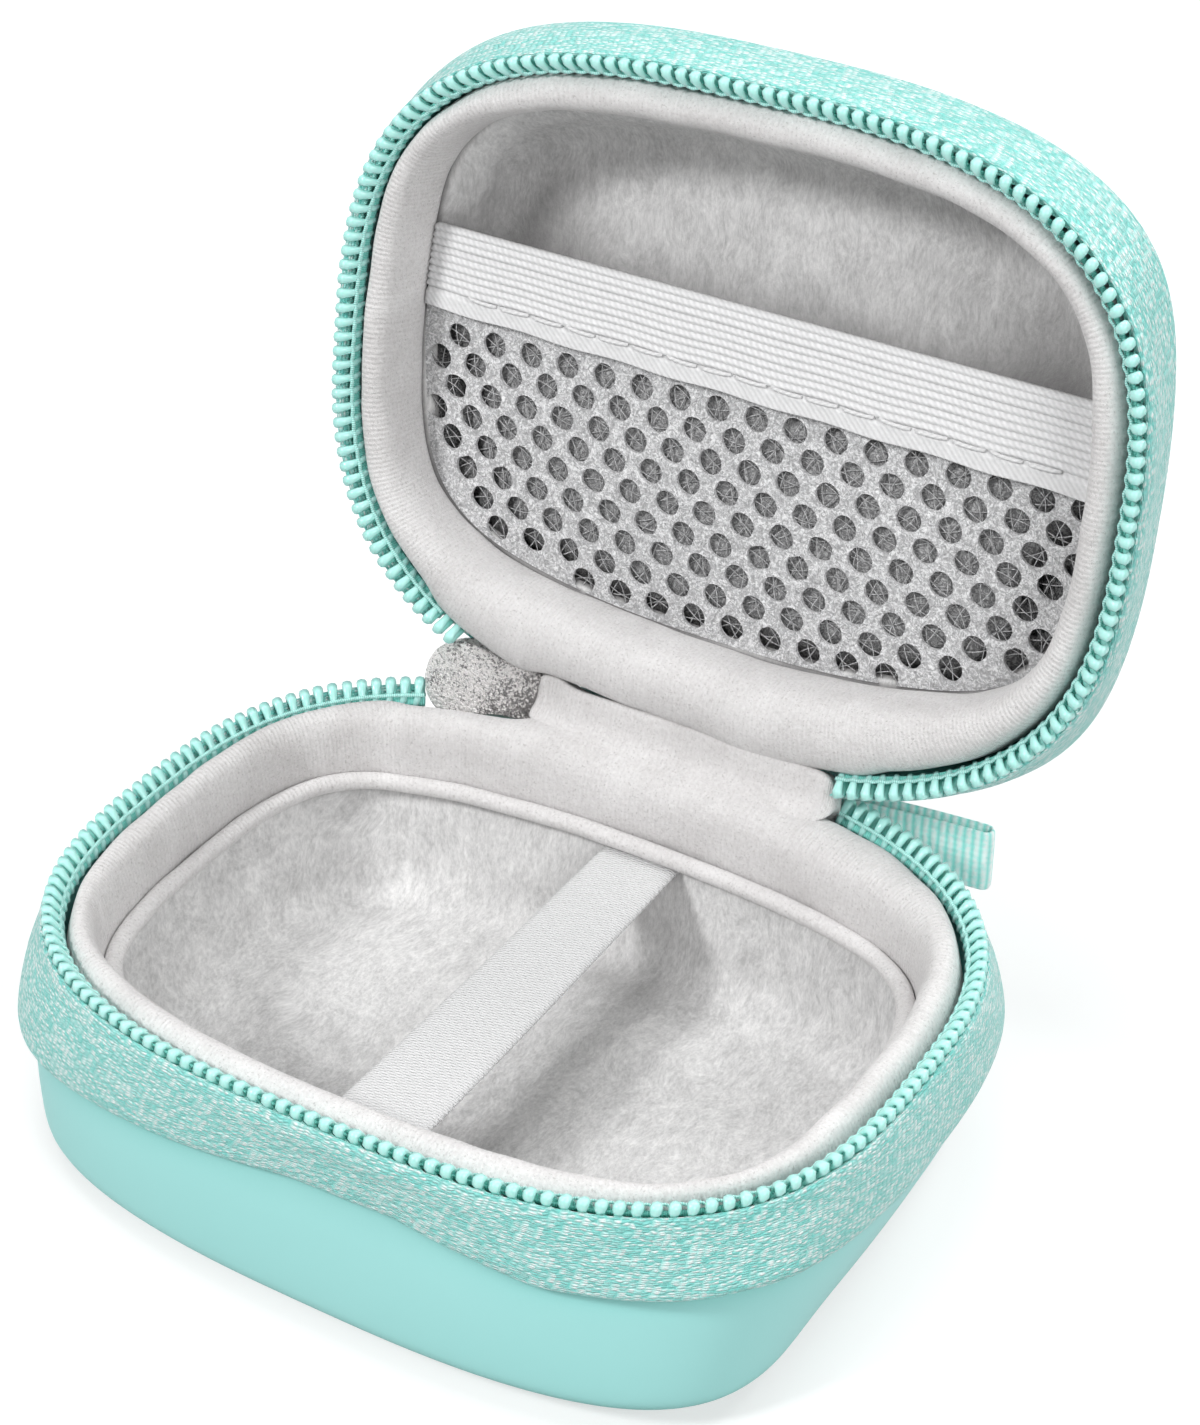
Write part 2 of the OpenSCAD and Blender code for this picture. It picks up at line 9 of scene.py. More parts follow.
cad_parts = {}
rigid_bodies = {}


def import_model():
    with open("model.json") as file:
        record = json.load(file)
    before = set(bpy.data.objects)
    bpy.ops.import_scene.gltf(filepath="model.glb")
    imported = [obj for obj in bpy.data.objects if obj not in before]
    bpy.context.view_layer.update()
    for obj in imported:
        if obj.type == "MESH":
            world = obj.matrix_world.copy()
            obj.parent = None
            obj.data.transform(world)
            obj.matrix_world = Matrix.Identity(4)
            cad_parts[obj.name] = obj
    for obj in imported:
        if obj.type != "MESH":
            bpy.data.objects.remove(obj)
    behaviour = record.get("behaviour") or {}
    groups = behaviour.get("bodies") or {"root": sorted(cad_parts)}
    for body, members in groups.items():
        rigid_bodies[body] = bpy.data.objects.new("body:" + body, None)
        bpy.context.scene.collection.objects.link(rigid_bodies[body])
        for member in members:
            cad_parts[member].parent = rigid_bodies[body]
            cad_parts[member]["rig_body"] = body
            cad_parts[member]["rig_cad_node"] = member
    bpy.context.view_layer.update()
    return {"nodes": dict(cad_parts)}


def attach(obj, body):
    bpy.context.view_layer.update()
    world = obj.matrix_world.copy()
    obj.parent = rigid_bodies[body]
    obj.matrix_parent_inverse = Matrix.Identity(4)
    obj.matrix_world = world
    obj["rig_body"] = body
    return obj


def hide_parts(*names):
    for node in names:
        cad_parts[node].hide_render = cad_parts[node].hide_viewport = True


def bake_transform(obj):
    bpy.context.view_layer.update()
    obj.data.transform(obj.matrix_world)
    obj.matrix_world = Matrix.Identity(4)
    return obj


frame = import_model()

# Camera
# A long lens, above the front right corner of the open case and looking down into both halves.
bpy.ops.object.camera_add(location=(0.125697, -0.191529, 0.198702),
                          rotation=(math.radians(90 - 33.679), 0, math.radians(31.312)))
camera = bpy.context.object
camera.name = "camera"
camera.data.lens = 78.224
camera.data.sensor_width = 36
camera.data.clip_start = 0.01
bpy.context.scene.camera = camera
bpy.context.scene.view_settings.view_transform = "Standard"

# Floor, sky and lamps
# A white table that keeps the soft shadow of the case, under a key light, a wide light overhead and two
# lights on the right.
class Look:
    """A material or sky in the making. Each call adds a node. An argument is a number, a colour or the
    output of another node, and the name of an input has _ for a space."""

    def __init__(self, name, owner=bpy.data.materials, bare=False):
        self.made = owner.new(name)
        self.made.use_nodes = True
        self.tree = self.made.node_tree
        if bare:
            self.tree.nodes.clear()
        coords = self.node("TexCoord").outputs
        self.uv, self.at = coords["UV"], coords["Object"]

    def put(self, socket, value):
        if isinstance(value, bpy.types.NodeSocket):
            self.tree.links.new(value, socket)
        else:
            socket.default_value = value

    def node(self, kind, *values, **inputs):
        """Any node, with its first inputs given in order or others by name."""
        made = self.tree.nodes.new("ShaderNode" + kind)
        for socket, value in zip(made.inputs, values):
            self.put(socket, value)
        for key, value in inputs.items():
            self.put(made.inputs[key.replace("_", " ")], value)
        return made

    def mixed(self, share, first, second):
        """Colour between two others."""
        made = self.tree.nodes.new("ShaderNodeMix")
        made.data_type = "RGBA"
        for index, value in ((0, share), (6, first), (7, second)):
            self.put(made.inputs[index], (*value, 1) if isinstance(value, tuple) else value)
        return made.outputs[2]

    def maths(self, work, *values, kind="Math"):
        made = self.tree.nodes.new("ShaderNode" + kind)
        made.operation = work
        for socket, value in zip(made.inputs, values):
            self.put(socket, value)
        return made.outputs[0]

    def total(self, *terms, plus=0.0):
        """A number plus some values, each times its own number."""
        for value, times in terms:
            plus = self.maths("MULTIPLY_ADD", value, times, plus)
        return plus

    def spread(self, value, low, high, top=1.0):
        """Stretches low to high over 0 to top."""
        return self.node("MapRange", Value=value, From_Min=low, From_Max=high, To_Max=top).outputs[0]

    def noise(self, where, scale, detail=2, roughness=0.5, distortion=0.0, out="Fac"):
        return self.node("TexNoise", Vector=where, Scale=scale, Detail=detail, Roughness=roughness,
                         Distortion=distortion).outputs[out]

    def wave(self, where, scale, distortion, **inputs):
        return self.node("TexWave", Vector=where, Scale=scale, Distortion=distortion, **inputs).outputs["Fac"]

    def mapped(self, where, scale=(1, 1, 1), turn=0.0):
        return self.node("Mapping", Vector=where, Scale=scale, Rotation=(0, 0, turn)).outputs[0]

    def painted_nook_shade(self, reach, clear, tight, most):
        """Painted shade: rises from 0 to most as other surfaces close in, to darken corners and recesses."""
        return self.spread(self.node("AmbientOcclusion", Distance=reach).outputs["AO"], clear, tight, most)

    def surface(self, colour, relief, strength, distance, **settings):
        """Gives the surface its colour, its relief and its other settings."""
        body = self.tree.nodes["Principled BSDF"]
        bump = self.node("Bump", Height=relief, Strength=strength, Distance=distance)
        for key, value in {"Base_Color": colour, "Normal": bump.outputs[0], **settings}.items():
            self.put(body.inputs[key.replace("_", " ")], value)
        return self.made


WHITE = (1, 1, 1, 1)
table = Look("floor_white", bare=True)
rays = table.node("LightPath").outputs
mirrored = table.maths("MAXIMUM", rays["Is Glossy Ray"], rays["Is Transmission Ray"])
seen = table.maths("MAXIMUM", rays["Is Camera Ray"], mirrored)
paint = table.node("BsdfDiffuse", Color=(0.50, 0.50, 0.50, 1))
far = table.node("VectorMath", table.at)
far.operation = "LENGTH"
glow = table.node("MapRange", Value=far.outputs["Value"], From_Min=0.2, From_Max=0.9, To_Min=0.55, To_Max=1.0)
glow = table.node("Emission", Color=WHITE, Strength=table.maths("MULTIPLY", seen, glow.outputs[0]))
both = table.node("AddShader", paint.outputs[0], glow.outputs[0])
table.node("OutputMaterial", Surface=both.outputs[0])
bpy.ops.mesh.primitive_plane_add(size=6, location=(0, 0, -0.0001))
floor = bpy.context.object
floor.name = "floor"
floor.data.materials.append(table.made)

sky = Look("sky", bpy.data.worlds, bare=True)
bpy.context.scene.world = sky.made
rays = sky.node("LightPath").outputs
seen = sky.maths("MAXIMUM", rays["Is Camera Ray"], rays["Is Transmission Ray"])
shine = sky.node("Background", Color=WHITE, Strength=sky.total((seen, 0.88), plus=0.12))
sky.node("OutputWorld", Surface=shine.outputs[0])

LAMPS = [("key", (-0.31, -0.53, 0.56), 0.15, 3.75),
         ("overhead", (-0.08, 0.02, 0.70), 0.36, 1.9),
         ("back_right", (0.22, 0.46, 0.52), 0.30, 2.6),
         ("front_right", (0.58, -0.34, 0.44), 0.40, 3.0)]
LAMPS_AIM = Vector((0, 0.01, 0.03))
for name, place, size, power in LAMPS:
    bpy.ops.object.light_add(type="AREA", location=place)
    lamp = bpy.context.object
    lamp.name = name
    lamp.data.size = size
    lamp.data.energy = power
    lamp.rotation_euler = (LAMPS_AIM - Vector(place)).to_track_quat("-Z", "Y").to_euler()

# Hard base
# A bowl hot-pressed from foam board under a smooth mint film. Its wall steps in under the zip tape,
# leans in at the ends and turns into a flat bottom. It is shaped in the zip line's own frame:
# u is the distance outwards from the zip line and v the height above it, in millimetres.
RIM_W, RIM_D = 85.0, 66.2
FRONT_ROUND, REAR_ROUND = 2.92, 2.65
BASE_H, LID_H = 23.0, 18.0
HINGE_Y, HINGE_Z, ZIP_GAP = 30.9, 4.2, 3.2
OPEN = math.radians(100.5)
SHOULDER = 8.0
ZIP_LEFT, HINGE_HALF = 29.6, 17.2


def zip_line(a):
    """Points of the zip line at polar angles a, and its outward directions there."""
    n = np.where(np.sin(a) < 0, FRONT_ROUND, REAR_ROUND)
    c, s = np.cos(a), np.sin(a)
    r = ((np.abs(c) * 2 / RIM_W) ** n + (np.abs(s) * 2 / RIM_D) ** n) ** (-1 / n)
    p = np.stack([r * c, r * s], -1)
    g = np.stack([np.sign(c) * np.abs(p[..., 0] * 2 / RIM_W) ** (n - 1) / RIM_W,
                  np.sign(s) * np.abs(p[..., 1] * 2 / RIM_D) ** (n - 1) / RIM_D], -1)
    return p, g / np.linalg.norm(g, axis=-1, keepdims=True)


def rim_place(a, u, v):
    """Points u outside the zip line and v above it."""
    p, out = zip_line(a)
    u, v = np.broadcast_to(u, a.shape)[..., None], np.broadcast_to(v, a.shape)[..., None]
    return np.concatenate([p + u * out, v], -1)


def four_sides(a, sizes):
    """A size that changes round the case, from its values at the ends, front, rear and corners."""
    x2, y = zip_line(a)[1][..., 0] ** 2, zip_line(a)[1][..., 1]
    return sizes[0] * x2 + np.where(y < 0, sizes[1], sizes[2]) * y * y + sizes[3] * 4 * x2 * y * y


def eased(t):
    t = np.clip(t, 0, 1)
    return t * t * (3 - 2 * t)


def rear_zone(a, x0, x1):
    """1 between two places along the back, 0 elsewhere."""
    p = zip_line(a)[0]
    return np.where(p[..., 1] < 0, 0, eased((p[..., 0] - x0) / 3) * eased((x1 - p[..., 0]) / 3))


def all_round(count):
    """Polar angles once round the case, closest together at the corners."""
    t = np.linspace(0, 2 * math.pi, count + 1)
    k = 2 / np.where(np.sin(t) < -1e-9, FRONT_ROUND, REAR_ROUND)
    x, y = np.cos(t), np.sin(t)
    a = np.arctan2(RIM_D * np.sign(y) * np.abs(y) ** k, RIM_W * np.sign(x) * np.abs(x) ** k)
    return np.unwrap(a)


def on_base(p):
    return (p + np.array([0, 0, BASE_H])) / 1000


def on_lid(p):
    y, z = p[..., 1] - HINGE_Y, ZIP_GAP - HINGE_Z - p[..., 2]
    return np.stack([p[..., 0], HINGE_Y + y * math.cos(OPEN) + z * math.sin(OPEN),
                     BASE_H + HINGE_Z - y * math.sin(OPEN) + z * math.cos(OPEN)], -1) / 1000


def only(*pieces):
    """Selects these pieces and no others, with the first one active."""
    bpy.ops.object.select_all(action="DESELECT")
    for piece in pieces:
        piece.select_set(True)
    bpy.context.view_layer.objects.active = pieces[0]


def reworked(*steps):
    """Runs mesh operators on the whole of the active piece. A step is an operator and its settings."""
    bpy.ops.object.mode_set(mode="EDIT")
    for work, settings in steps:
        bpy.ops.mesh.select_all(action="SELECT")
        work(**settings)
    bpy.ops.object.mode_set(mode="OBJECT")


def modified(piece, kind, **settings):
    """Adds a modifier to the active piece and applies it."""
    added = piece.modifiers.new(kind.lower(), kind)
    for key, value in settings.items():
        setattr(added, key, value)
    bpy.ops.object.modifier_apply(modifier=added.name)


def made_of(piece, material):
    piece.data.materials.append(material)


FACE_OUT = (bpy.ops.mesh.normals_make_consistent, {"inside": False})


def skin(name, rows, place, levels=1, capped=False):
    """A grid drawn over rows of points, sewn where its edges meet, and smoothed.
    Its UV map is the distance along and across the rows, in millimetres."""
    rows = np.array(rows, float)
    m, n = rows.shape[:2]
    bpy.ops.object.select_all(action="DESELECT")
    bpy.ops.mesh.primitive_grid_add(x_subdivisions=n - 1, y_subdivisions=m - 1)
    piece = bpy.context.object
    piece.name = piece.data.name = name
    piece.data.vertices.foreach_set("co", place(rows).astype(np.float32).ravel())
    along = np.linalg.norm(np.diff(rows, axis=1), axis=2).max(0)
    across = np.linalg.norm(np.diff(rows, axis=0), axis=2).max(1)
    along, across = np.append(0, np.cumsum(along)), np.append(0, np.cumsum(across))
    corner = np.zeros(len(piece.data.loops), int)
    piece.data.loops.foreach_get("vertex_index", corner)
    uv = np.stack([along[corner % n], across[corner // n]], -1)
    piece.data.uv_layers[0].data.foreach_set("uv", uv.astype(np.float32).ravel())
    reworked((bpy.ops.mesh.remove_doubles, {"threshold": 2e-6}))
    if levels:
        modified(piece, "SUBSURF", levels=levels, render_levels=levels)
    caps = [(bpy.ops.mesh.fill_holes, {"sides": 0})] if capped else []
    reworked(*caps, FACE_OUT)
    bpy.ops.object.shade_smooth()
    return piece


noise.seed_set(1)  # seeded from the clock otherwise


def rippled(piece, size, depth, seed=0.0):
    """Moves each point of a soft piece a little, as cloth over foam lies unevenly. Millimetres."""
    for v in piece.data.vertices:
        p = v.co * 1000 / size + Vector((seed, seed * 0.7, 0))
        v.co += noise.noise_vector(p) * depth / 1000


STATIONS = 168
BASE_TOP = (1.25, 1.4, 0.6, 1.0)
BASE_LOW = (-3.0, 2.2, 0.2, 2.6)
CAVITY_TOP = (-5.4, -5.5, -9.4, 1.0)
CAVITY_LOW = (-7.8, -7.5, -10.8, 1.0)
CAVITY_ROUND = 4.5
BASE_FLOOR_T, LIP_DEPTH = 3.2, 3.2
TAPE_TOP_U = 0.45
LINING_T, PAD_H = 0.8, 7.0


def hinge_zone(a):
    return rear_zone(a, -ZIP_LEFT - 3, HINGE_HALF + 3)


def tape_in(a, top, v):
    """Inner face of the zip tape where it lies over the wall."""
    wall = four_sides(a, top) + 0.08
    return TAPE_TOP_U + (wall - TAPE_TOP_U) * np.sin(np.pi / 2 * np.clip(-v / SHOULDER, 0, 1))


# Depth of the tape's sewn lower edge at polar angles in degrees, from the photographed base
BASE_EDGE = np.array([(-180, 8.2), (-142, 9.8), (-118, 7.8), (-92, 5.3), (-74, 5.0), (-54, 7.3), (-33, 6.1),
                      (-9, 7.6), (90, 7.1), (180, 8.2)])
LID_EDGE = np.array([(-180, 7.6), (-140, 8.2), (-90, 7.6), (-40, 6.6), (0, 6.6), (90, 7.1), (180, 7.6)])


def tape_low(a, edge_line):
    return np.interp((np.degrees(a) + 540) % 360 - 180, edge_line[:, 0], edge_line[:, 1])


def pressed_in(a, v, edge_line):
    """The wall is drawn in a little along the tape's lower edge, where the thread holds it."""
    below = -v - tape_low(a, edge_line)
    return 0.45 * np.exp(-np.where(below > 0, below / 2.2, below / 1.6) ** 2)


def toward_middle(ring, shares):
    """Copies of a ring drawn in towards the case's middle."""
    return [ring * np.array([k, k, 1]) for k in shares]


def cavity_foot(a, degrees, du, v):
    """Ring on the round between the cavity's wall and floor, du outside it, with the floor below v."""
    t = math.radians(degrees)
    u = four_sides(a, CAVITY_LOW) + du - CAVITY_ROUND * (1 - math.cos(t))
    return rim_place(a, u, v - CAVITY_ROUND * math.sin(t))


def hard_half(name, place, h, top, low, round_w, round_h, floor_t, edge_line):
    """The moulded bowl of one half, from the middle of its outside to the middle of its floor."""
    a = all_round(STATIONS)
    top_u, low_u = four_sides(a, top), four_sides(a, low)
    knee, foot = h - round_h, h - floor_t - CAVITY_ROUND
    rows = toward_middle(rim_place(a, low_u - round_w, -h), (0.02, 0.35, 0.7, 0.92))
    for t in np.radians((90, 76, 62, 48, 34, 20, 8)):
        rows.append(rim_place(a, low_u - round_w * (1 - math.cos(t)), -knee - round_h * math.sin(t)))
    for t in np.linspace(0.06, 1, 13):
        middle = (low_u + top_u) / 2 + 0.25
        u = low_u * (1 - t) * (1 - 2 * t) + middle * 4 * t * (1 - t) + top_u * t * (2 * t - 1)
        v = -knee + (knee - SHOULDER) * t
        rows.append(rim_place(a, u - pressed_in(a, v, edge_line), v))
    lip = LIP_DEPTH + 3.0 * hinge_zone(a)
    for t in (0.4, 0.75, 1):
        v = -(SHOULDER * (1 - t) + lip * t)
        rows.append(rim_place(a, tape_in(a, top, v) - 0.08 - pressed_in(a, v, edge_line), v))
    back, ledge = -0.85 - hinge_zone(a) * 0.3, -PAD_H - 0.7
    rows += [rim_place(a, back, -lip), rim_place(a, back, ledge),
             rim_place(a, four_sides(a, CAVITY_TOP) + LINING_T, ledge)]
    rows += [cavity_foot(a, degrees, LINING_T, -foot) for degrees in (0, 30, 60, 90)]
    return skin(name, rows + toward_middle(rows[-1], (0.5, 0.02)), place, capped=True)


look = Look("mint_film")
cloud = look.noise(look.at, 55, 3)
scuff = look.noise(look.at, 420, 6, 0.75)
tint = look.mixed(cloud, (0.345, 0.715, 0.690), (0.380, 0.748, 0.727))
tint = look.mixed(look.total((look.maths("GREATER_THAN", scuff, 0.70), 0.25)), tint, (0.47, 0.82, 0.79))
# Painted shade: the film darkens to deep teal where other surfaces stand close, under the tape's lower edge
# and near the floor.
tint = look.mixed(look.painted_nook_shade(0.0045, 0.97, 0.60, 0.75), tint, (0.10, 0.42, 0.38))
mint_film = look.surface(tint, look.noise(look.at, 2600, 4, 0.6), 0.22, 0.00004,
                         Roughness=look.total((cloud, 0.10), plus=0.46), Specular_IOR_Level=0.38)

base_body = hard_half("base_body", on_base, BASE_H, BASE_TOP, BASE_LOW, round_w=9.2, round_h=4.0,
                      floor_t=BASE_FLOOR_T, edge_line=BASE_EDGE)
made_of(base_body, mint_film)
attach(base_body, "base")
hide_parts("base_shell")

# Base lining
# Short-pile grey velour laid over the cavity wall and floor, with its nap brushed this way and that.
look = Look("velour")
warp = look.noise(look.at, 90, distortion=0.4, out="Color")
bent = look.maths("MULTIPLY_ADD", warp, (0.0045, 0.0045, 0.0045), look.at, kind="VectorMath")
lay = look.mapped(bent, (1, 0.55, 0.38), 0.35)
fibre, tuft = look.noise(lay, 3000, 5, 0.75), look.noise(lay, 780, 4, 0.6)
patch = look.noise(look.at, 75, 3, 0.55, 1.2)
tone = look.total((fibre, 0.75), (tuft, 0.40), (patch, 0.30))
tint = look.mixed(look.spread(tone, 0.56, 0.90), (0.50, 0.497, 0.497), (0.85, 0.845, 0.84))
# Painted shade: the velour darkens to near black in the cavity's corners and under the roll, where other
# surfaces stand close.
tint = look.mixed(look.painted_nook_shade(0.016, 0.66, 0.27, 0.85), tint, (0.16, 0.155, 0.155))
velour = look.surface(tint, tone, 0.75, 0.00020, Roughness=0.92, Sheen_Weight=0.30, Sheen_Roughness=0.45,
                      Specular_IOR_Level=0.15)


def soft_lining(name, place, h, floor_t):
    """Velour bowl of one half, from under its floor, over the ledge, and back to the floor."""
    a = all_round(STATIONS)
    top, low = four_sides(a, CAVITY_TOP), four_sides(a, CAVITY_LOW)
    foot, under = h - floor_t - CAVITY_ROUND, LINING_T - 0.1
    bowl = [cavity_foot(a, degrees, under, 0.1 - foot) for degrees in (90, 60, 30, 0)]
    rows = toward_middle(bowl[0], (0.02, 0.6)) + bowl
    rows += [rim_place(a, top + du, v - PAD_H) for du, v in
             ((under, -0.65), (2.6, -0.65), (2.6, 0.05), (0.4, 0.1), (0, -0.05))]
    start = PAD_H - 0.1
    for t in np.linspace(0.08, 0.94, 7):
        rows.append(rim_place(a, top * (1 - t) + low * t, -(start * (1 - t) + (foot - LINING_T) * t)))
    rows += [cavity_foot(a, degrees, 0, LINING_T - foot) for degrees in (6, 22, 38, 54, 70, 86)]
    return skin(name, rows + toward_middle(rows[-1], (0.93, 0.8, 0.6, 0.4, 0.2, 0.02)), place, capped=True)


base_velour = soft_lining("base_velour", on_base, BASE_H, BASE_FLOOR_T)
rippled(base_velour, size=9.0, depth=0.22, seed=3.0)
made_of(base_velour, velour)
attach(base_velour, "base")
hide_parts("base_lining")

# Base rim pad
# Brushed pale knit drawn over a foam bead that rolls from the coil to the cavity, narrow at the front
# and broad at the back. The knit's fine ribs run across the roll.
look = Look("plush")
rib = look.wave(look.mapped(look.uv, (1, 0.03, 1)), 0.60, 1.6, Detail=3, Detail_Scale=1.8)
fluff = look.noise(look.at, 2400, 5, 0.75)
bruise = look.noise(look.at, 130, 3, distortion=0.6)
tone = look.spread(look.total((fluff, 0.6), (bruise, 0.4)), 0.34, 0.66)
tint = look.mixed(tone, (0.64, 0.622, 0.619), (0.87, 0.857, 0.855))
tint = look.mixed(look.total((rib, 0.10)), tint, (0.50, 0.48, 0.475))
pit = look.spread(look.noise(look.at, 4200, 2, 0.6), 0.58, 0.70)
tint = look.mixed(look.total((pit, 0.45)), tint, (0.34, 0.32, 0.315))
plush = look.surface(tint, look.total((rib, -0.24), (fluff, 1)), 0.85, 0.00024, Roughness=0.94,
                     Sheen_Weight=0.25, Sheen_Roughness=0.5, Specular_IOR_Level=0.12)


def padded_roll(name, place, drawn, pushed=0.0):
    """The roll, drawn back that far behind the slider and a little behind the hinge, and pushed out beside
    the hinge's right end."""
    a = all_round(STATIONS)
    dent = drawn * rear_zone(a, -ZIP_LEFT - 3, -15.8) - pushed * rear_zone(a, 3, HINGE_HALF + 6)
    dent = dent + (0.4 - 0.3 * pushed) * rear_zone(a, -17.5, HINGE_HALF + 3)
    face, inner = -1.25 - dent, four_sides(a, CAVITY_TOP)
    crest, lean = four_sides(a, (0.75, 0.30, 1.15, 0.15)), -four_sides(a, (0.9, 0.35, 1.0, 0.0))
    foot = -PAD_H + 0.1
    over = [(0.3, 0.2), (0.5, 0), (0.62, 0.12), (0.74, 0.4), (0.84, 0.95), (0.91, 1.75), (0.96, 2.8),
            (0.985, 4.2), (1, 6)]
    points = [(0, 0, foot), (0, 0, -4.6), (0, 0, -3.0), (0, lean / 2, crest - 2.3), (0, lean, crest - 1.05)]
    points += [(k, 0, crest - below) for k, below in over] + [(1, 0.1, foot), (0.6, 0, foot)]
    rows = [rim_place(a, face * (1 - k) + inner * k + du, v) for k, du, v in points]
    return skin(name, rows + rows[:1], place)


base_roll = padded_roll("base_roll", on_base, drawn=1.5)
rippled(base_roll, size=4.5, depth=0.16, seed=1.0)
rippled(base_roll, size=14.0, depth=0.25, seed=5.0)
made_of(base_roll, plush)
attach(base_roll, "base")
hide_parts("base_rim_pad")

# Base piping
# A thin velour-covered cord sewn round the top of the cavity, where the roll meets the lining.
def corded_edge(name, place):
    a, r = all_round(STATIONS), 1.05
    u, v = four_sides(a, CAVITY_TOP) - r + 0.1, -PAD_H + r
    rows = [rim_place(a, u + r * math.cos(t), v + r * math.sin(t) * 0.95)
            for t in np.radians(np.arange(0, 361, 45))]
    return skin(name, rows, place)


base_cord = corded_edge("base_cord", on_base)
rippled(base_cord, size=5.0, depth=0.12, seed=7.0)
made_of(base_cord, plush)
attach(base_cord, "base")
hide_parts("base_piping")

# Base zip tape
# Woven mint tape with its sparkle painted: white highlights on its raised threads are painted, and the gaps
# between the threads carry painted shade. It folds in under the coil at its top, lies over the
# wall's step, and its sewn lower edge wanders a little up and down round the case.
look = Look("tape_with_painted_highlights")
shake = look.noise(look.uv, 0.9, out="Color")
bent = look.maths("MULTIPLY_ADD", shake, (0.5, 0.55, 0), look.uv, kind="VectorMath")
threads = look.mapped(bent, (1.45, 3.5, 1), 0.10)
weave = look.node("TexVoronoi", Vector=threads, Scale=1.0, Randomness=0.62)
weave.voronoi_dimensions = "2D"
shade = look.node("SeparateColor", Color=weave.outputs["Color"]).outputs[0]
tone = look.total((shade, 0.60), (look.noise(threads, 1.2, 2, 0.7), 0.40))
raised = look.spread(weave.outputs["Distance"], 0.62, 0.10)
mottle = look.spread(tone, 0.30, 0.66)
# Painted highlight: the raised threads turn white where their tone is high.
painted_highlight = look.maths("MULTIPLY", look.spread(tone, 0.50, 0.68), raised)
tint = look.mixed(mottle, (0.27, 0.740, 0.690), (0.70, 0.97, 0.95))
tint = look.mixed(painted_highlight, tint, (0.96, 1.0, 0.99))
# Painted shade: the gaps between the raised threads darken to deep teal.
tint = look.mixed(look.total((raised, -0.60), plus=0.60), tint, (0.12, 0.56, 0.50))
tape_with_painted_highlights = look.surface(tint, look.total((raised, 1), (mottle, 0.6)), 0.9, 0.00016, Roughness=0.42,
                            Sheen_Weight=0.25, Sheen_Roughness=0.4)


def rear_angle(x):
    """Polar angle of the zip line at a distance x from the middle of the back."""
    return math.atan2(RIM_D / 2 * (1 - (abs(x) * 2 / RIM_W) ** REAR_ROUND) ** (1 / REAR_ROUND), x)


ZIP_ANGLES = np.linspace(rear_angle(-24), rear_angle(HINGE_HALF) + 2 * math.pi, 721)
steps = np.linalg.norm(np.diff(zip_line(ZIP_ANGLES)[0], axis=0), axis=1)
ZIP_RUN = np.append(0, np.cumsum(steps))
ZIP_RUN -= np.interp(rear_angle(-ZIP_LEFT), ZIP_ANGLES, ZIP_RUN)


def along_zip(s):
    """Polar angles at distances s along the zip from the slider."""
    return np.interp(s, ZIP_RUN, ZIP_ANGLES)


TAPE_T, FLAP_LEN, FLAP_T, FLAP_ANGLE = 0.7, 2.3, 0.6, math.radians(55.6)


def zip_tape(name, place, top, edge, stands_off):
    """The tape of one half. Its lower edge stands off the wall by that much at the front corners."""
    a = along_zip(np.linspace(0, ZIP_RUN[-1], 261))
    low = tape_low(a, edge)
    flare = four_sides(a, (0, 0, 0, 1)) * np.where(np.sin(a) < 0, stands_off, stands_off * 0.4)
    down = np.array([math.cos(FLAP_ANGLE), math.sin(FLAP_ANGLE)])
    tip = np.array([0.505, 0.307])
    end, thick = tip - FLAP_LEN * down, FLAP_T * np.array([down[1], -down[0]])
    t = TAPE_T
    hung = [(1, 1, t * 0.75), (0.95, 0.95, t), (0.8, 0.6, t), (0.65, 0.3, t), (0.5, 0.1, t), (0.36, 0, t)]
    outer = [(tape_in(a, top, -low * k) + w + flare * f, -low * k) for k, f, w in hung]
    inner = [(tape_in(a, top, -low * k) + flare * f, -low * k) for k, f, w in hung[::-1]]
    hem = [(tape_in(a, top, -low) + w + flare, -low - 0.12) for w in (0.1, t * 0.6)]
    turn = [(TAPE_TOP_U + 0.72, -1.2), tip + thick * 0.9, tip + thick * 0.35 + down * 0.12, tip, end,
            end + thick, (TAPE_TOP_U + 0.02, -1.3)]
    rows = [rim_place(a, u, v) for u, v in outer + turn + inner + hem]
    return skin(name, rows + rows[:1], place, capped=True)


base_tape = zip_tape("base_tape", on_base, BASE_TOP, BASE_EDGE, stands_off=0.8)
made_of(base_tape, tape_with_painted_highlights)
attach(base_tape, "base")
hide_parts("base_zip_tape")

# Base coil
# One nylon filament bent into flat hairpin turns and sewn to the folded tape over a filler cord. Each
# turn has a lower leg on the tape, a broad head past its edge, and an upper leg back over the cord.
look = Look("nylon")
depth = look.node("SeparateXYZ", look.uv).outputs["Y"]
cloud = look.noise(look.at, 900)
# Painted light: each turn is darker on its lower leg against the tape and paler over its head and upper leg,
# where light falls on and through the thin nylon.
tint = look.mixed(look.spread(depth, 1.2, 3.0), (0.22, 0.70, 0.62), (0.42, 0.81, 0.75))
tint = look.mixed(look.total((cloud, 0.35)), tint, (0.62, 0.91, 0.87))
nylon = look.surface(tint, cloud, 0.15, 0.00006, Roughness=0.24, Subsurface_Weight=0.45,
                     Subsurface_Radius=(0.6, 1.0, 0.9), Subsurface_Scale=0.0006, Coat_Weight=0.3,
                     Coat_Roughness=0.12)

TOOTH_PITCH = 1.5
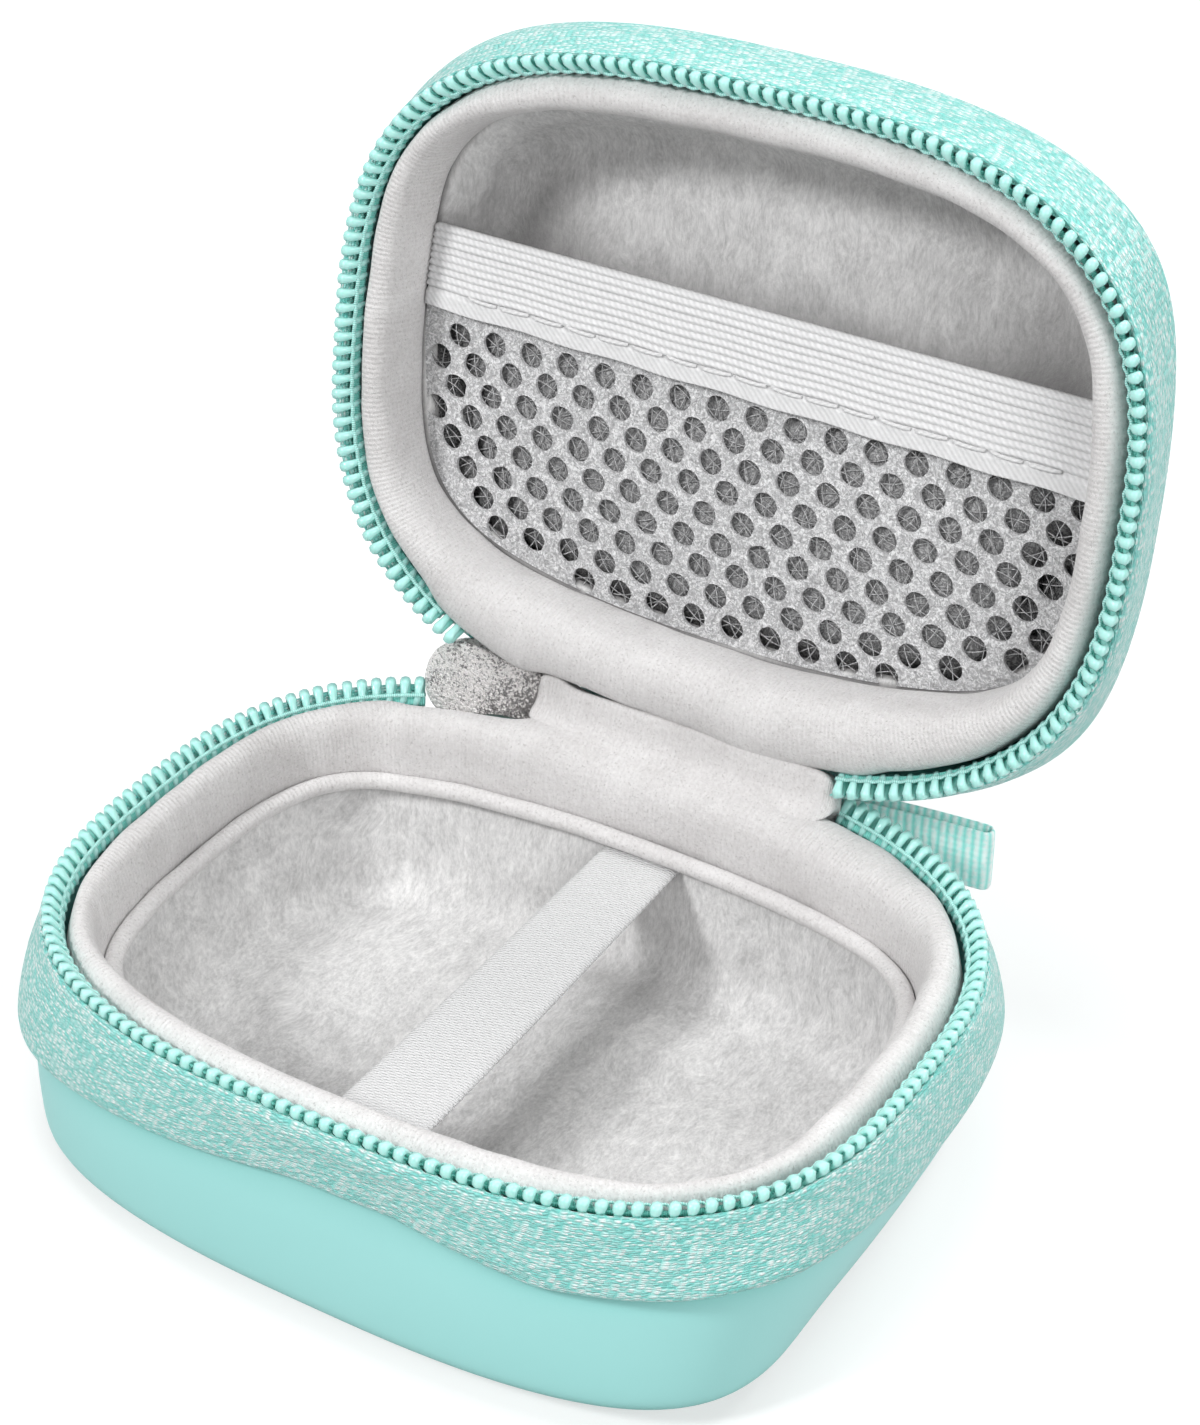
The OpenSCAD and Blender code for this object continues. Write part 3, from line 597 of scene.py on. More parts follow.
# Middle line of a turn, along the zip, up the tape's fold and off it, then half its width and thickness
TURN = np.array([(-0.16, -1.40, -0.32, 0.32, 0.26), (-0.13, -0.60, -0.34, 0.36, 0.28),
                 (-0.08, 0.35, -0.36, 0.40, 0.30), (-0.03, 0.98, -0.29, 0.52, 0.33),
                 (0.03, 1.30, 0.04, 0.55, 0.36), (0.08, 0.94, 0.36, 0.52, 0.33),
                 (0.15, 0.10, 0.40, 0.40, 0.30), (0.26, -0.80, 0.34, 0.36, 0.28),
                 (0.48, -1.38, 0.06, 0.32, 0.24)])
FOLD_UP, FOLD_OFF, FOLD_AT = np.array([0.563, 0.826]), np.array([-0.826, 0.563]), np.array([-0.41, -0.015])


def one_turn():
    """One hairpin turn as a closed tube of nine rings, in the fold's own axes."""
    path = TURN[:, :3]
    ahead = np.gradient(path, axis=0)
    ahead /= np.linalg.norm(ahead, axis=1, keepdims=True)
    wide = np.array([1.0, 0, 0]) - ahead * ahead[:, :1]
    wide /= np.linalg.norm(wide, axis=1, keepdims=True)
    thick = np.cross(ahead, wide)
    t = np.radians(np.arange(0, 361, 45))
    rings = [p + np.outer(np.cos(t), w) * hw + np.outer(np.sin(t), k) * ht
             for p, w, k, hw, ht in zip(path, wide, thick, TURN[:, 3], TURN[:, 4])]
    tip0, tip1 = path[0] - ahead[0] * 0.2, path[-1] + ahead[-1] * 0.2
    return np.array([np.repeat(tip0[None], len(t), 0), *rings, np.repeat(tip1[None], len(t), 0)])


def to_fold(a, p):
    """From the fold's own axes at polar angle a to the rim frame."""
    at, out = zip_line(np.array([a]))
    ahead = np.array([-out[0][1], out[0][0]])
    u = FOLD_AT[0] + p[..., 1] * FOLD_UP[0] + p[..., 2] * FOLD_OFF[0]
    v = FOLD_AT[1] + p[..., 1] * FOLD_UP[1] + p[..., 2] * FOLD_OFF[1]
    xy = at[0] + p[..., :1] * ahead + u[..., None] * out[0]
    return np.concatenate([xy, v[..., None]], -1)


def joined(pieces):
    """Joins pieces into the first one."""
    only(*pieces)
    if len(pieces) > 1:
        bpy.ops.object.join()
    return pieces[0]


def points_of(piece):
    """The points of a piece made in millimetres."""
    return np.array([v.co for v in piece.data.vertices]) * 1000


def copies(name, first, shapes, material):
    """Copies of a finished piece, each with its own points, joined into one. The first one is used up."""
    made = []
    for shape in shapes:
        copy = first.copy()
        copy.data = first.data.copy()
        bpy.context.collection.objects.link(copy)
        copy.data.vertices.foreach_set("co", shape.astype(np.float32).ravel())
        made.append(copy)
    bpy.data.objects.remove(first)
    piece = joined(made)
    piece.name = piece.data.name = name
    reworked(FACE_OUT)
    made_of(piece, material)
    return piece


def small(p):
    """Millimetres as metres, for a piece that is made at the origin to be copied."""
    return p / 1000


def coil(name, place, distances):
    """Turns of one side of the zip at those distances along it."""
    first = skin(name + "_turn", one_turn(), small, levels=0)
    shape = points_of(first)
    shapes = []
    for i, s in enumerate(distances):
        wobble = noise.noise(Vector((i * 0.37, 0.5, 0.5))) * 0.07
        shapes.append(place(to_fold(along_zip(s), shape + np.array([wobble, wobble * 0.6, 0]))))
    return copies(name, first, shapes, nylon)


COUNT = int((ZIP_RUN[-1] - 1) / TOOTH_PITCH)
TEETH = 0.5 + (ZIP_RUN[-1] - 1) * (np.arange(COUNT) + 0.5) / COUNT


def filler_cord(name, place):
    """The cord that runs through the turns, and the stitches' dark bed between them."""
    a = along_zip(np.linspace(-0.8, ZIP_RUN[-1] - 0.6, 200))
    at = [FOLD_AT + FOLD_UP * (-0.95 + 0.50 * math.cos(t)) + FOLD_OFF * (0.02 + 0.28 * math.sin(t))
          for t in np.radians(np.arange(0, 361, 60))]
    return skin(name, [rim_place(a, u, v) for u, v in at], place, levels=0, capped=True)


def coil_stitches(name, place):
    """Two sewn threads that hold the turns down, one on each side, rising over each turn."""
    s = np.arange(-0.8, ZIP_RUN[-1] - 0.6, TOOTH_PITCH / 6)
    a = along_zip(s)
    lift = 0.10 * np.cos((s - TEETH[0]) / TOOTH_PITCH * 2 * math.pi)
    made = []
    for side, middle in ((1, -0.35), (-1, -0.25)):
        rows = []
        for t in np.radians(np.arange(0, 361, 72)):
            up, off = middle + 0.22 * math.cos(t), side * (0.58 + lift) + 0.02 + 0.15 * math.sin(t)
            u, v = (FOLD_AT[k] + FOLD_UP[k] * up + FOLD_OFF[k] * off for k in (0, 1))
            rows.append(rim_place(a, u, v))
        made.append(skin(name, rows, place, levels=0, capped=True))
    return joined(made)


def sewing_thread(name, dark, light):
    look = Look(name)
    twist = look.wave(look.uv, 1.4, 1.0)
    return look.surface(look.mixed(twist, dark, light), twist, 0.6, 0.0001, Roughness=0.7)


deep_thread = sewing_thread("deep_thread", (0.17, 0.62, 0.54), (0.28, 0.74, 0.67))
pale_thread = sewing_thread("pale_thread", (0.30, 0.74, 0.67), (0.58, 0.90, 0.86))

base_coil = coil("base_coil", on_base, TEETH)
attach(base_coil, "base")
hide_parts("base_zip_teeth")
base_filler = filler_cord("base_filler_cord", on_base)
made_of(base_filler, deep_thread)
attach(base_filler, "base")
base_stitches = coil_stitches("base_coil_stitches", on_base)
made_of(base_stitches, pale_thread)
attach(base_stitches, "base")

# Elastic strap
# White woven elastic across the base cavity, wider at the front, caught in the wall under the piping at
# both ends. Its weave is a fine diagonal, and its edges have tiny loops.
look = Look("white_elastic")
twill = look.wave(look.mapped(look.uv, turn=0.62), 0.55, 0.3)
weft = look.maths("MULTIPLY", twill, look.wave(look.uv, 0.70, 0.2))
tint = look.mixed(look.total((weft, 0.9)), (0.70, 0.70, 0.705), (0.97, 0.97, 0.975))
white_elastic = look.surface(tint, look.total((weft, 1), (look.noise(look.at, 1900, 4), 0.4)), 0.8, 0.00022,
                             Roughness=0.75, Sheen_Weight=0.15)

STRAP_TOP, STRAP_T, STRAP_W, STRAP_REAR_W = -7.15, 0.9, 9.9, 8.4
y0, y1 = -RIM_D / 2 + 5.8, RIM_D / 2 - 9.85
y = np.linspace(y0, y1, 121)
half = np.interp(y, (-RIM_D / 2, RIM_D / 2), (STRAP_W / 2, STRAP_REAR_W / 2))
picot = 0.24 * np.where(np.arange(len(y)) % 2 == 0, 1, -1)
sag = -0.25 * np.sin(np.pi * (y - y0) / (y1 - y0))
section = [(-1, 0.5), (-0.94, 1), (-0.5, 1.06), (0, 1.1), (0.5, 1.06), (0.94, 1), (1, 0.5), (0.94, 0), (0, 0),
           (-0.94, 0)]
rows = [np.stack([half * k + picot * (abs(k) == 1) * k, y, STRAP_TOP + sag + STRAP_T * (w - 1)], -1)
        for k, w in section]
strap = skin("strap", rows + rows[:1], on_base, capped=True)
made_of(strap, white_elastic)
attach(strap, "base")
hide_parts("elastic_strap")

# Ribbon loop
# A shiny ribbed ribbon, folded double and caught in the rear seam beside the hinge.
look = Look("ribbon")
cross_rib = look.wave(look.uv, 0.36, 0.5, Detail=1)
thread = look.maths("SINE", look.total((look.node("SeparateXYZ", look.uv).outputs["Y"], 9.0)))
# Painted highlight: the ribs turn near white where the noise is high.
lit = look.maths("MULTIPLY", cross_rib, look.spread(look.noise(look.uv, 1.6, 3), 0.38, 0.50))
tint = look.mixed(lit, look.mixed(cross_rib, (0.34, 0.86, 0.79), (0.72, 0.99, 0.96)), (0.90, 1.0, 0.98))
ribbon = look.surface(tint, look.total((cross_rib, 1), (thread, 0.25)), 0.4, 0.00012, Roughness=0.3,
                      Sheen_Weight=0.3)

LOOP_LEN, LOOP_W, LOOP_TURN = 14.2, 7.0, math.radians(9.6)
r_mid = 0.7
run = LOOP_LEN - 1.0
bend = [(run + r_mid * math.sin(t), -r_mid * math.cos(t)) for t in np.radians(np.linspace(0, 180, 9))]
out = [(x, -r_mid) for x in np.linspace(0, run, 22)[:-1]]
line = np.array(out + bend + [(x, r_mid) for x in np.linspace(run, 0, 22)[1:]])
ahead = np.gradient(line, axis=0)
side = np.stack([ahead[:, 1], -ahead[:, 0]], -1) / np.linalg.norm(ahead, axis=1, keepdims=True)
section = [(0.02, 0.3), (0, 0)] + [(k, -0.3) for k in (0.02, 0.25, 0.5, 0.75, 0.98)] + [(1, 0)]
section += [(k, 0.3) for k in (0.98, 0.75, 0.5, 0.25)]
c, s = math.cos(LOOP_TURN), math.sin(LOOP_TURN)
droop = -0.45 * (line[:, 0] / run) ** 2
rows = []
for k, w in section:
    at = line + side * w
    x, y = at[:, 0] * c - at[:, 1] * s, at[:, 0] * s + at[:, 1] * c
    rows.append(np.stack([HINGE_HALF + 0.3 + x, RIM_D / 2 + 2.1 + y, LOOP_W * (k - 1) - 0.7 + droop], -1))
loop = skin("ribbon_loop", rows + rows[:1], on_base, capped=True)
made_of(loop, ribbon)
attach(loop, "base")
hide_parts("side_loop")

# Hard lid
# The same board and film as the base, pressed shallower, with a fuller corner and a domed top edge.
LID_TOP = (-0.4, 1.6, 0.6, 1.3)
LID_LOW = (-4.2, 0.3, -0.2, 0.7)
LID_FLOOR_T = 2.8
lid_body = hard_half("lid_body", on_lid, LID_H, LID_TOP, LID_LOW, round_w=10.0, round_h=5.0,
                     floor_t=LID_FLOOR_T, edge_line=LID_EDGE)
made_of(lid_body, mint_film)
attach(lid_body, "lid")
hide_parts("lid_shell")

# Lid lining
# Velour as in the base, behind the net pocket.
lid_velour = soft_lining("lid_velour", on_lid, LID_H, LID_FLOOR_T)
rippled(lid_velour, size=9.0, depth=0.22, seed=11.0)
made_of(lid_velour, velour)
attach(lid_velour, "lid")
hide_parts("lid_lining")

# Lid rim pad
# The lid's padded roll, of the same brushed knit, broadest along the hinge.
lid_roll = padded_roll("lid_roll", on_lid, drawn=-1.1, pushed=0.7)
rippled(lid_roll, size=4.5, depth=0.16, seed=21.0)
rippled(lid_roll, size=14.0, depth=0.25, seed=25.0)
made_of(lid_roll, plush)
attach(lid_roll, "lid")
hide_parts("lid_rim_pad")

# Lid zip tape and coil
# The other half of the zip, sewn to the lid as the base's half is to the base.
lid_tape = zip_tape("lid_tape", on_lid, LID_TOP, LID_EDGE, stands_off=0.15)
made_of(lid_tape, tape_with_painted_highlights)
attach(lid_tape, "lid")
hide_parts("lid_zip_tape")
lid_coil = coil("lid_coil", on_lid, TEETH)
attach(lid_coil, "lid")
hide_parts("lid_zip_teeth")
lid_filler = filler_cord("lid_filler_cord", on_lid)
made_of(lid_filler, deep_thread)
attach(lid_filler, "lid")
lid_stitches = coil_stitches("lid_coil_stitches", on_lid)
made_of(lid_stitches, pale_thread)
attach(lid_stitches, "lid")

# Pocket net
# Knitted mesh with staggered oval holes, stretched over the hinge side of the lid cavity and sewn into
# the wall. Fine cross threads of its back layer show in the holes.
look = Look("net_knit")
loops = look.noise(look.at, 1150, 3, 0.6, 3.5)
lustre = look.noise(look.at, 2300, 4, 0.7, 1.0)
# Painted sheen: the knit turns near white where the lustre noise is high.
tint = look.mixed(look.spread(lustre, 0.42, 0.60), (0.50, 0.50, 0.51), (0.97, 0.97, 0.98))
tint = look.mixed(look.total((look.spread(loops, 0.47, 0.60), 0.60)), tint, (0.24, 0.24, 0.245))
net_knit = look.surface(tint, look.maths("SUBTRACT", lustre, loops), 0.9, 0.00020, Roughness=0.36,
                        Sheen_Weight=0.2)

BAND_LOW_Y, BAND_W, BAND_DEPTH, BAND_T = -2.0, 8.9, 5.7, 0.9
NET_DEPTH, NET_T = 6.65, 0.4
HOLE_PITCH, ROW_PITCH, HOLE_W, HOLE_H = 4.3, 2.74, 1.36, 1.28


def cavity_edge(du, count=168):
    a = all_round(count)[:-1]
    return rim_place(a, four_sides(a, CAVITY_TOP) + du, 0)[:, :2]


def inside(point, ring):
    """True for a point inside a closed ring of points."""
    x, y, hit = point[0], point[1], False
    for p, q in zip(ring, np.roll(ring, -1, 0)):
        if (p[1] > y) != (q[1] > y) and x < (q[0] - p[0]) * (y - p[1]) / (q[1] - p[1]) + p[0]:
            hit = not hit
    return hit


edge = cavity_edge(0.25)
top_y = BAND_LOW_Y - 0.9
cut = [tuple(p) for p in edge if p[1] > top_y]
right_end = max((p for p in cut if p[0] > 0), key=lambda p: -p[1])
left_end = max((p for p in cut if p[0] < 0), key=lambda p: -p[1])
order = sorted(cut, key=lambda p: math.atan2(p[1] + 20, p[0]))
outline = [(right_end[0], top_y)] + order + [(left_end[0], top_y)]
outline += [(x, top_y) for x in np.linspace(left_end[0], right_end[0], 40)[1:-1]]
inner_limit = cavity_edge(-0.6)
loops, centres = [outline], []
for j in range(10):
    for i in range(-10, 11):
        cx, cy = 1.18 + (i + (j % 2) / 2) * HOLE_PITCH, 0.04 + j * ROW_PITCH
        cx, cy = cx + 0.12 * noise.noise(Vector((i, j, 0.3))), cy + 0.12 * noise.noise(Vector((i, j, 7.3)))
        wide = 1 + 0.10 * noise.noise(Vector((i * 0.7, j * 0.7, 3.1)))
        hole = [(cx + HOLE_W * wide * math.cos(t) + 0.12 * math.sin(t), cy + HOLE_H / wide * math.sin(t))
                for t in np.radians(np.arange(0, 360, 360 / 18))]
        if inside((cx, cy), inner_limit):
            loops.append(hole)
            centres.append((cx, cy))
points, ties = [], []
for ring in loops:
    start = len(points)
    points += [Vector(p) for p in ring]
    ties += [(start + k, start + (k + 1) % len(ring)) for k in range(len(ring))]
filled = delaunay_2d_cdt(points, ties, [], 1, 1e-5)
verts, faces = filled[0], filled[2]


def in_a_hole(p):
    return any(((p[0] - cx) / HOLE_W) ** 2 + ((p[1] - cy) / HOLE_H) ** 2 < 0.93 for cx, cy in centres)


ring = np.array(outline)
kept = []
for f in faces:
    mid = sum((verts[k] for k in f), Vector((0, 0))) / len(f)
    if inside(mid, ring) and not in_a_hole(mid):
        kept.append(f)


def net_bulge(x, y):
    """The net stands out a little at its middle, where it isn't held."""
    return 0.35 * math.cos(x / 27 * math.pi / 2) * math.sin(math.pi * min(1, max(0, (y + 3) / 26)))


flat = np.array([(v[0], v[1], -NET_DEPTH - NET_T + net_bulge(v[0], v[1])) for v in verts])
mesh = bpy.data.meshes.new("pocket_mesh")
mesh.from_pydata(on_lid(flat).tolist(), [], [list(f) for f in kept])
net = bpy.data.objects.new("pocket_mesh", mesh)
bpy.context.collection.objects.link(net)
only(net)
reworked((bpy.ops.mesh.delete_loose, {}), FACE_OUT)
modified(net, "SOLIDIFY", thickness=NET_T / 1000, offset=0)
made_of(net, net_knit)
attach(net, "lid")
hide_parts("pocket_net")

rows = [[(-1.75 + 0.7 * k, 0.06 * math.cos(t), 0.06 * math.sin(t)) for k in range(6)]
        for t in np.radians((0, 120, 240, 360))]
first = skin("thread", rows, small, levels=0, capped=True)
shape = points_of(first)
strands = []
for index, (cx, cy) in enumerate(centres):
    for k in range(4):
        turn = math.radians(45 * k + 25) + 0.5 * noise.noise(Vector((index * 1.7, k * 2.3, 0.5)))
        off = 1.3 * noise.noise(Vector((index * 1.1, k * 3.1, 9.5)))
        bow = 0.25 * (1 - (shape[:, 0] / 1.75) ** 2) * (1 if (index + k) % 2 else -1)
        across = shape[:, 1] + off + bow
        x = cx + shape[:, 0] * math.cos(turn) - across * math.sin(turn)
        y = cy + shape[:, 0] * math.sin(turn) + across * math.cos(turn)
        lift = np.array([net_bulge(p, q) for p, q in zip(x, y)])
        strands.append(on_lid(np.stack([x, y, shape[:, 2] - NET_DEPTH - NET_T - 0.10 - 0.12 * k + lift], -1)))

# Painted shade: a dark backing sheet with near-black dots behind the net, partly its back layer and partly
# the shade in the pocket behind the holes.
look = Look("back_knit_and_painted_shade")
dots = look.node("TexVoronoi", Vector=look.at, Scale=2100).outputs["Distance"]
strand = look.noise(look.at, 1300, 3, distortion=4.0)
tint = look.mixed(look.spread(strand, 0.46, 0.60), (0.26, 0.26, 0.265), (0.66, 0.66, 0.665))
tint = look.mixed(look.total((dots, 0.5)), tint, (0.07, 0.07, 0.07))
back_knit_and_painted_shade = look.surface(tint, strand, 0.8, 0.00015, Roughness=0.8)

BACK_BEHIND, BACK_MID_Y = 0.75, 9.5
backing = [np.array([[k * p[0], BACK_MID_Y + k * (p[1] - BACK_MID_Y), 0] for p in outline + outline[:1]])
           for k in (1, 0.66, 0.33, 0.02)]
for ring in backing:
    ring[:, 2] = [net_bulge(q[0], q[1]) - NET_DEPTH - NET_T - BACK_BEHIND for q in ring]
net_back_and_shade = skin("pocket_backing_and_shade", backing, on_lid, levels=0, capped=True)
modified(net_back_and_shade, "SOLIDIFY", thickness=0.0002, offset=0)
made_of(net_back_and_shade, back_knit_and_painted_shade)
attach(net_back_and_shade, "lid")

threads = copies("pocket_threads", first, strands, net_knit)
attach(threads, "lid")

# Pocket elastic
# A white elastic band along the mouth of the pocket: cords woven lengthwise in its upper part, a plain
# lower edge turned over the net, and a line of long stitches through both.
look = Look("rib_elastic")
dash = look.wave(look.mapped(look.uv, turn=0.75), 0.62, 0.8, Detail=2)
worn = look.total((dash, 0.32), (look.noise(look.at, 2200, 4, 0.7), 0.8))
tint = look.mixed(worn, (0.55, 0.55, 0.555), (0.88, 0.88, 0.885))
rib_elastic = look.surface(tint, worn, 0.6, 0.00014, Roughness=0.7, Sheen_Weight=0.15)

BAND_CORDS, CORDS_END, BAND_HALF = 9, 0.78, 40.0
x = np.linspace(-BAND_HALF, BAND_HALF, 161)
limit = cavity_edge(-0.2, 400)
ribs_at = np.linspace(0, 1, 97)
cord = np.abs(np.sin(ribs_at / CORDS_END * BAND_CORDS * math.pi)) ** 0.6
cord = np.where(ribs_at > CORDS_END, np.minimum(1, (ribs_at - CORDS_END) * 18), cord)
profile = [(k, 0.52 + 0.48 * c) for k, c in zip(ribs_at, cord)]
profile += [(1.01, 0.5), (1, 0), (0.66, 0), (0.33, 0), (0, 0)]


def cavity_half_width(y):
    """Half the width of the cavity at a place y from front to back."""
    near = limit[limit[:, 0] > 0]
    near = near[np.argsort(near[:, 1])]
    return np.interp(y, near[:, 1], near[:, 0])


rows = []
for k, w in profile:
    y = BAND_LOW_Y - BAND_W + BAND_W * k
    across = x / BAND_HALF * cavity_half_width(y)
    slope = (0.008 + 0.010 * k) * across + 0.10 * np.sin(across * 0.55) * k
    rows.append(np.stack([across, y + slope, np.full_like(x, -BAND_DEPTH - BAND_T * (1 - w))], -1))
band = skin("pocket_band", rows + rows[:1], on_lid, levels=0, capped=True)
made_of(band, rib_elastic)
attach(band, "lid")
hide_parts("pocket_elastic")

STITCH, STITCH_LEN, SEWN_HALF = 3.85, 3.3, 34.5
run = np.linspace(-0.5, 0.5, 9)
hump = 0.34 * np.cos(run * math.pi) ** 0.5
rows = [[(s * STITCH_LEN, 0.19 * math.cos(t), h - 0.12 + 0.16 * math.sin(t)) for s, h in zip(run, hump)]
        for t in np.radians(np.arange(0, 361, 60))]
first = skin("stitch", rows, small, levels=0, capped=True)
shape = points_of(first)
sewn = []
for k in range(-9, 10):
    if abs(k * STITCH) < SEWN_HALF:
        x, tilt = shape[:, 0] + STITCH * k + 0.6, 0.05 * math.sin(k * 2.1)
        y = shape[:, 1] + BAND_LOW_Y - BAND_W * 0.215 + 0.016 * x + tilt * shape[:, 0]
        sewn.append(on_lid(np.stack([x, y, shape[:, 2] - BAND_DEPTH], -1)))
stitches = copies("band_stitches", first, sewn, rib_elastic)
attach(stitches, "lid")

# Hinge fabric
# Outside, the woven tape runs on from the base up behind the lid. Inside, the brushed knit runs on from
# the crest of the base roll into the crease under the lid roll.
def hinge_strip(name, outline, x0, x1, drawn_back):
    """A strip with that outline in y and height above the zip line, drawn along the hinge. Its ends are
    rounded, and its left end is drawn back to meet the slider's tail."""
    outline = np.array(outline, float)
    xs = np.concatenate([[x0, x0 + 0.15, x0 + 0.5], np.linspace(x0 + 1.1, x1 - 1.1, 45),
                         [x1 - 0.5, x1 - 0.15, x1]])
    near = np.clip(np.minimum((xs - x0) / 1.1, (x1 - xs) / 2.4), 0, 1)
    small_end = 1 - np.where(xs < 0, 0.42, 0.80) * (1 - np.sqrt(1 - (1 - near) ** 2))
    back = drawn_back * eased((-11.5 - xs) / 4.5)
    y, v = outline.mean(0)
    rows = [np.stack([xs, y + (p[0] - y) * small_end + back, v + (p[1] - v) * small_end], -1)
            for p in outline]
    return skin(name, rows + rows[:1], on_base, capped=True)


WALL_OUT = 0.6
back = RIM_D / 2 + WALL_OUT
outer_line = [(back + y, v) for y, v in
              ((0.15, -8.2), (0.15, -6.2), (0, -4.5), (-0.1, -3), (-0.1, -1), (0.05, -0.45), (0.5, -0.2),
               (1.6, 0.2), (3.0, 0.05), (4.5, -0.25), (6, -0.5), (7.6, -0.8), (7.5, -1.4), (6, -1.1),
               (4.4, -0.85), (3, -0.6), (1.5, -0.45), (0.75, -0.8), (0.5, -1.4), (0.5, -3), (0.62, -4.6),
               (0.75, -6.2), (0.75, -8.2))]
hinge_cloth = hinge_strip("hinge_cloth", outer_line, x0=-16.2, x1=HINGE_HALF - 0.3, drawn_back=0)
made_of(hinge_cloth, tape_with_painted_highlights)
for corner in hinge_cloth.data.uv_layers[0].data:
    corner.uv.y *= 1.7
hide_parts("hinge_outer")
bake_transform(hinge_cloth)

face = RIM_D / 2 - 1.65
inner_line = [(face + y, v) for y, v in
              ((0.2, -4.5), (0.2, -2.1), (-0.6, -0.6), (-2.2, 0.3), (-4.2, 0.6), (-5.0, 0.78), (-4.4, 1.12),
               (-3.6, 1.38), (-3.0, 1.85), (-2.6, 2.5), (-2.3, 3.3), (-2.05, 4.0), (-1.8, 4.6), (-1.45, 4.75),
               (-0.9, 4.45), (-0.2, 3.8), (0.6, 3.2), (1.6, 2.7), (1.2, 1.5), (1, -4.5))]
hinge_knit = hinge_strip("hinge_knit", inner_line, x0=-16.9, x1=HINGE_HALF + 0.8, drawn_back=1.3)
rippled(hinge_knit, size=3.0, depth=0.10, seed=31.0)
made_of(hinge_knit, plush)
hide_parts("hinge_inner")
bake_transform(hinge_knit)

# Ends of the zip beside the slider
# Behind the slider both tapes run on along the walls to the hinge fabric, and the last turns of each
# coil run from the end of the fixed rows into the slider's mouth.
def rear_band(name, place, top):
    """Tape on the wall behind the slider, without the fold that carries a coil."""
    a = np.linspace(rear_angle(-15.6), rear_angle(-30.6), 33)
    section = [(-8.1, 0.7), (-6.6, 0.7), (-5.0, 0.7), (-3.6, 0.62), (-3.3, 0.3), (-3.6, 0), (-5.0, 0),
               (-6.6, 0), (-8.1, 0), (-8.25, 0.35)]
    rows = [rim_place(a, tape_in(a, top, v) + w + 0.02, v) for v, w in section]
    return skin(name, rows + rows[:1], place, capped=True)


for name, place, top, carrier in (("base_rear_tape", on_base, BASE_TOP, "base"),
                                  ("lid_rear_tape", on_lid, LID_TOP, "lid")):
    piece = rear_band(name, place, top)
    made_of(piece, tape_with_painted_highlights)
    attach(piece, carrier)
base_last = coil("base_last_turns", on_base, [TEETH[0] - TOOTH_PITCH])
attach(base_last, "base")
lid_last = coil("lid_last_turns", on_lid, [TEETH[0] - TOOTH_PITCH * k for k in (1, 2, 3)])
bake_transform(lid_last)

# Slider
# A cast zinc slider, plated bright, parked at the left of the hinge: two leaf-shaped plates with a
# pebbled face, a wedge between them that parts the turns, and rails that hold the tapes.
look = Look("cast_metal")
tarnish = look.noise(look.at, 330, 3)
tail = look.spread(look.node("SeparateXYZ", look.at).outputs["X"], -0.0235, -0.0170, 0.13)
pits_and_painted_reflection = look.total((look.noise(look.at, 3100, 3, 0.75), 1), (tail, 1), (tarnish, 0.3))
tint = look.mixed(tarnish, (0.92, 0.89, 0.88), (1.0, 0.97, 0.96))
# Painted reflection, partly real pits: dark specks, denser towards the tail, stand for the dark room seen in
# the bright plating and for pits in the casting.
tint = look.mixed(look.total((look.spread(pits_and_painted_reflection, 0.67, 0.78), 0.88)), tint, (0.16, 0.15, 0.15))
cast_metal = look.surface(tint, look.noise(look.at, 3000, 3, 0.65), 1.0, 0.00050, Metallic=0.75,
                          Roughness=look.total((tarnish, 0.18), plus=0.26))

SLIDER_X, SLIDER_TURN, SLIDER_TILT = -22.9, math.radians(14), math.radians(25)
SLIDER_T, PLATE_T = 4.2, 1.0
slider_y = RIM_D / 2 * (1 - (-SLIDER_X * 2 / RIM_W) ** REAR_ROUND) ** (1 / REAR_ROUND) + 0.55


def on_slider(p):
    """From the slider's own frame: X along the chain to the tail, Y outwards, Z across the chain."""
    x, y, z = p[..., 0], p[..., 1], p[..., 2]
    c, s = math.cos(SLIDER_TILT), math.sin(SLIDER_TILT)
    y, z = y * c + z * s, -y * s + z * c
    c, s = math.cos(SLIDER_TURN), math.sin(SLIDER_TURN)
    return np.stack([x * c - y * s + SLIDER_X, x * s + y * c + slider_y, z + BASE_H + 1.3], -1) / 1000


LEAF = np.array([(-6.55, 0.0), (-6.45, 1.2), (-6.1, 2.2), (-5.4, 3.1), (-4.4, 3.75), (-3.2, 4.05),
                 (-2.0, 4.0), (-0.8, 3.6), (0.5, 3.15), (1.8, 2.95), (3.2, 3.05), (4.4, 3.2), (5.4, 3.1),
                 (6.1, 2.5), (6.45, 1.5), (6.55, 0.0)])


def leaf_plate(name, y):
    """A plate with that half outline, thinner at its rounded edge."""
    t = np.radians(np.linspace(0, 360, 33))
    c, s = np.cos(t), np.sin(t)
    rows = []
    for x, w in LEAF:
        thick = PLATE_T / 2 * min(1, (6.75 - abs(x)) / 0.9) ** 0.5
        rows.append(np.stack([np.full_like(t, x), y + thick * np.sign(s) * np.abs(s) ** 0.45,
                              w * np.sign(c) * np.abs(c) ** 0.75], -1))
    return skin(name, rows, on_slider)


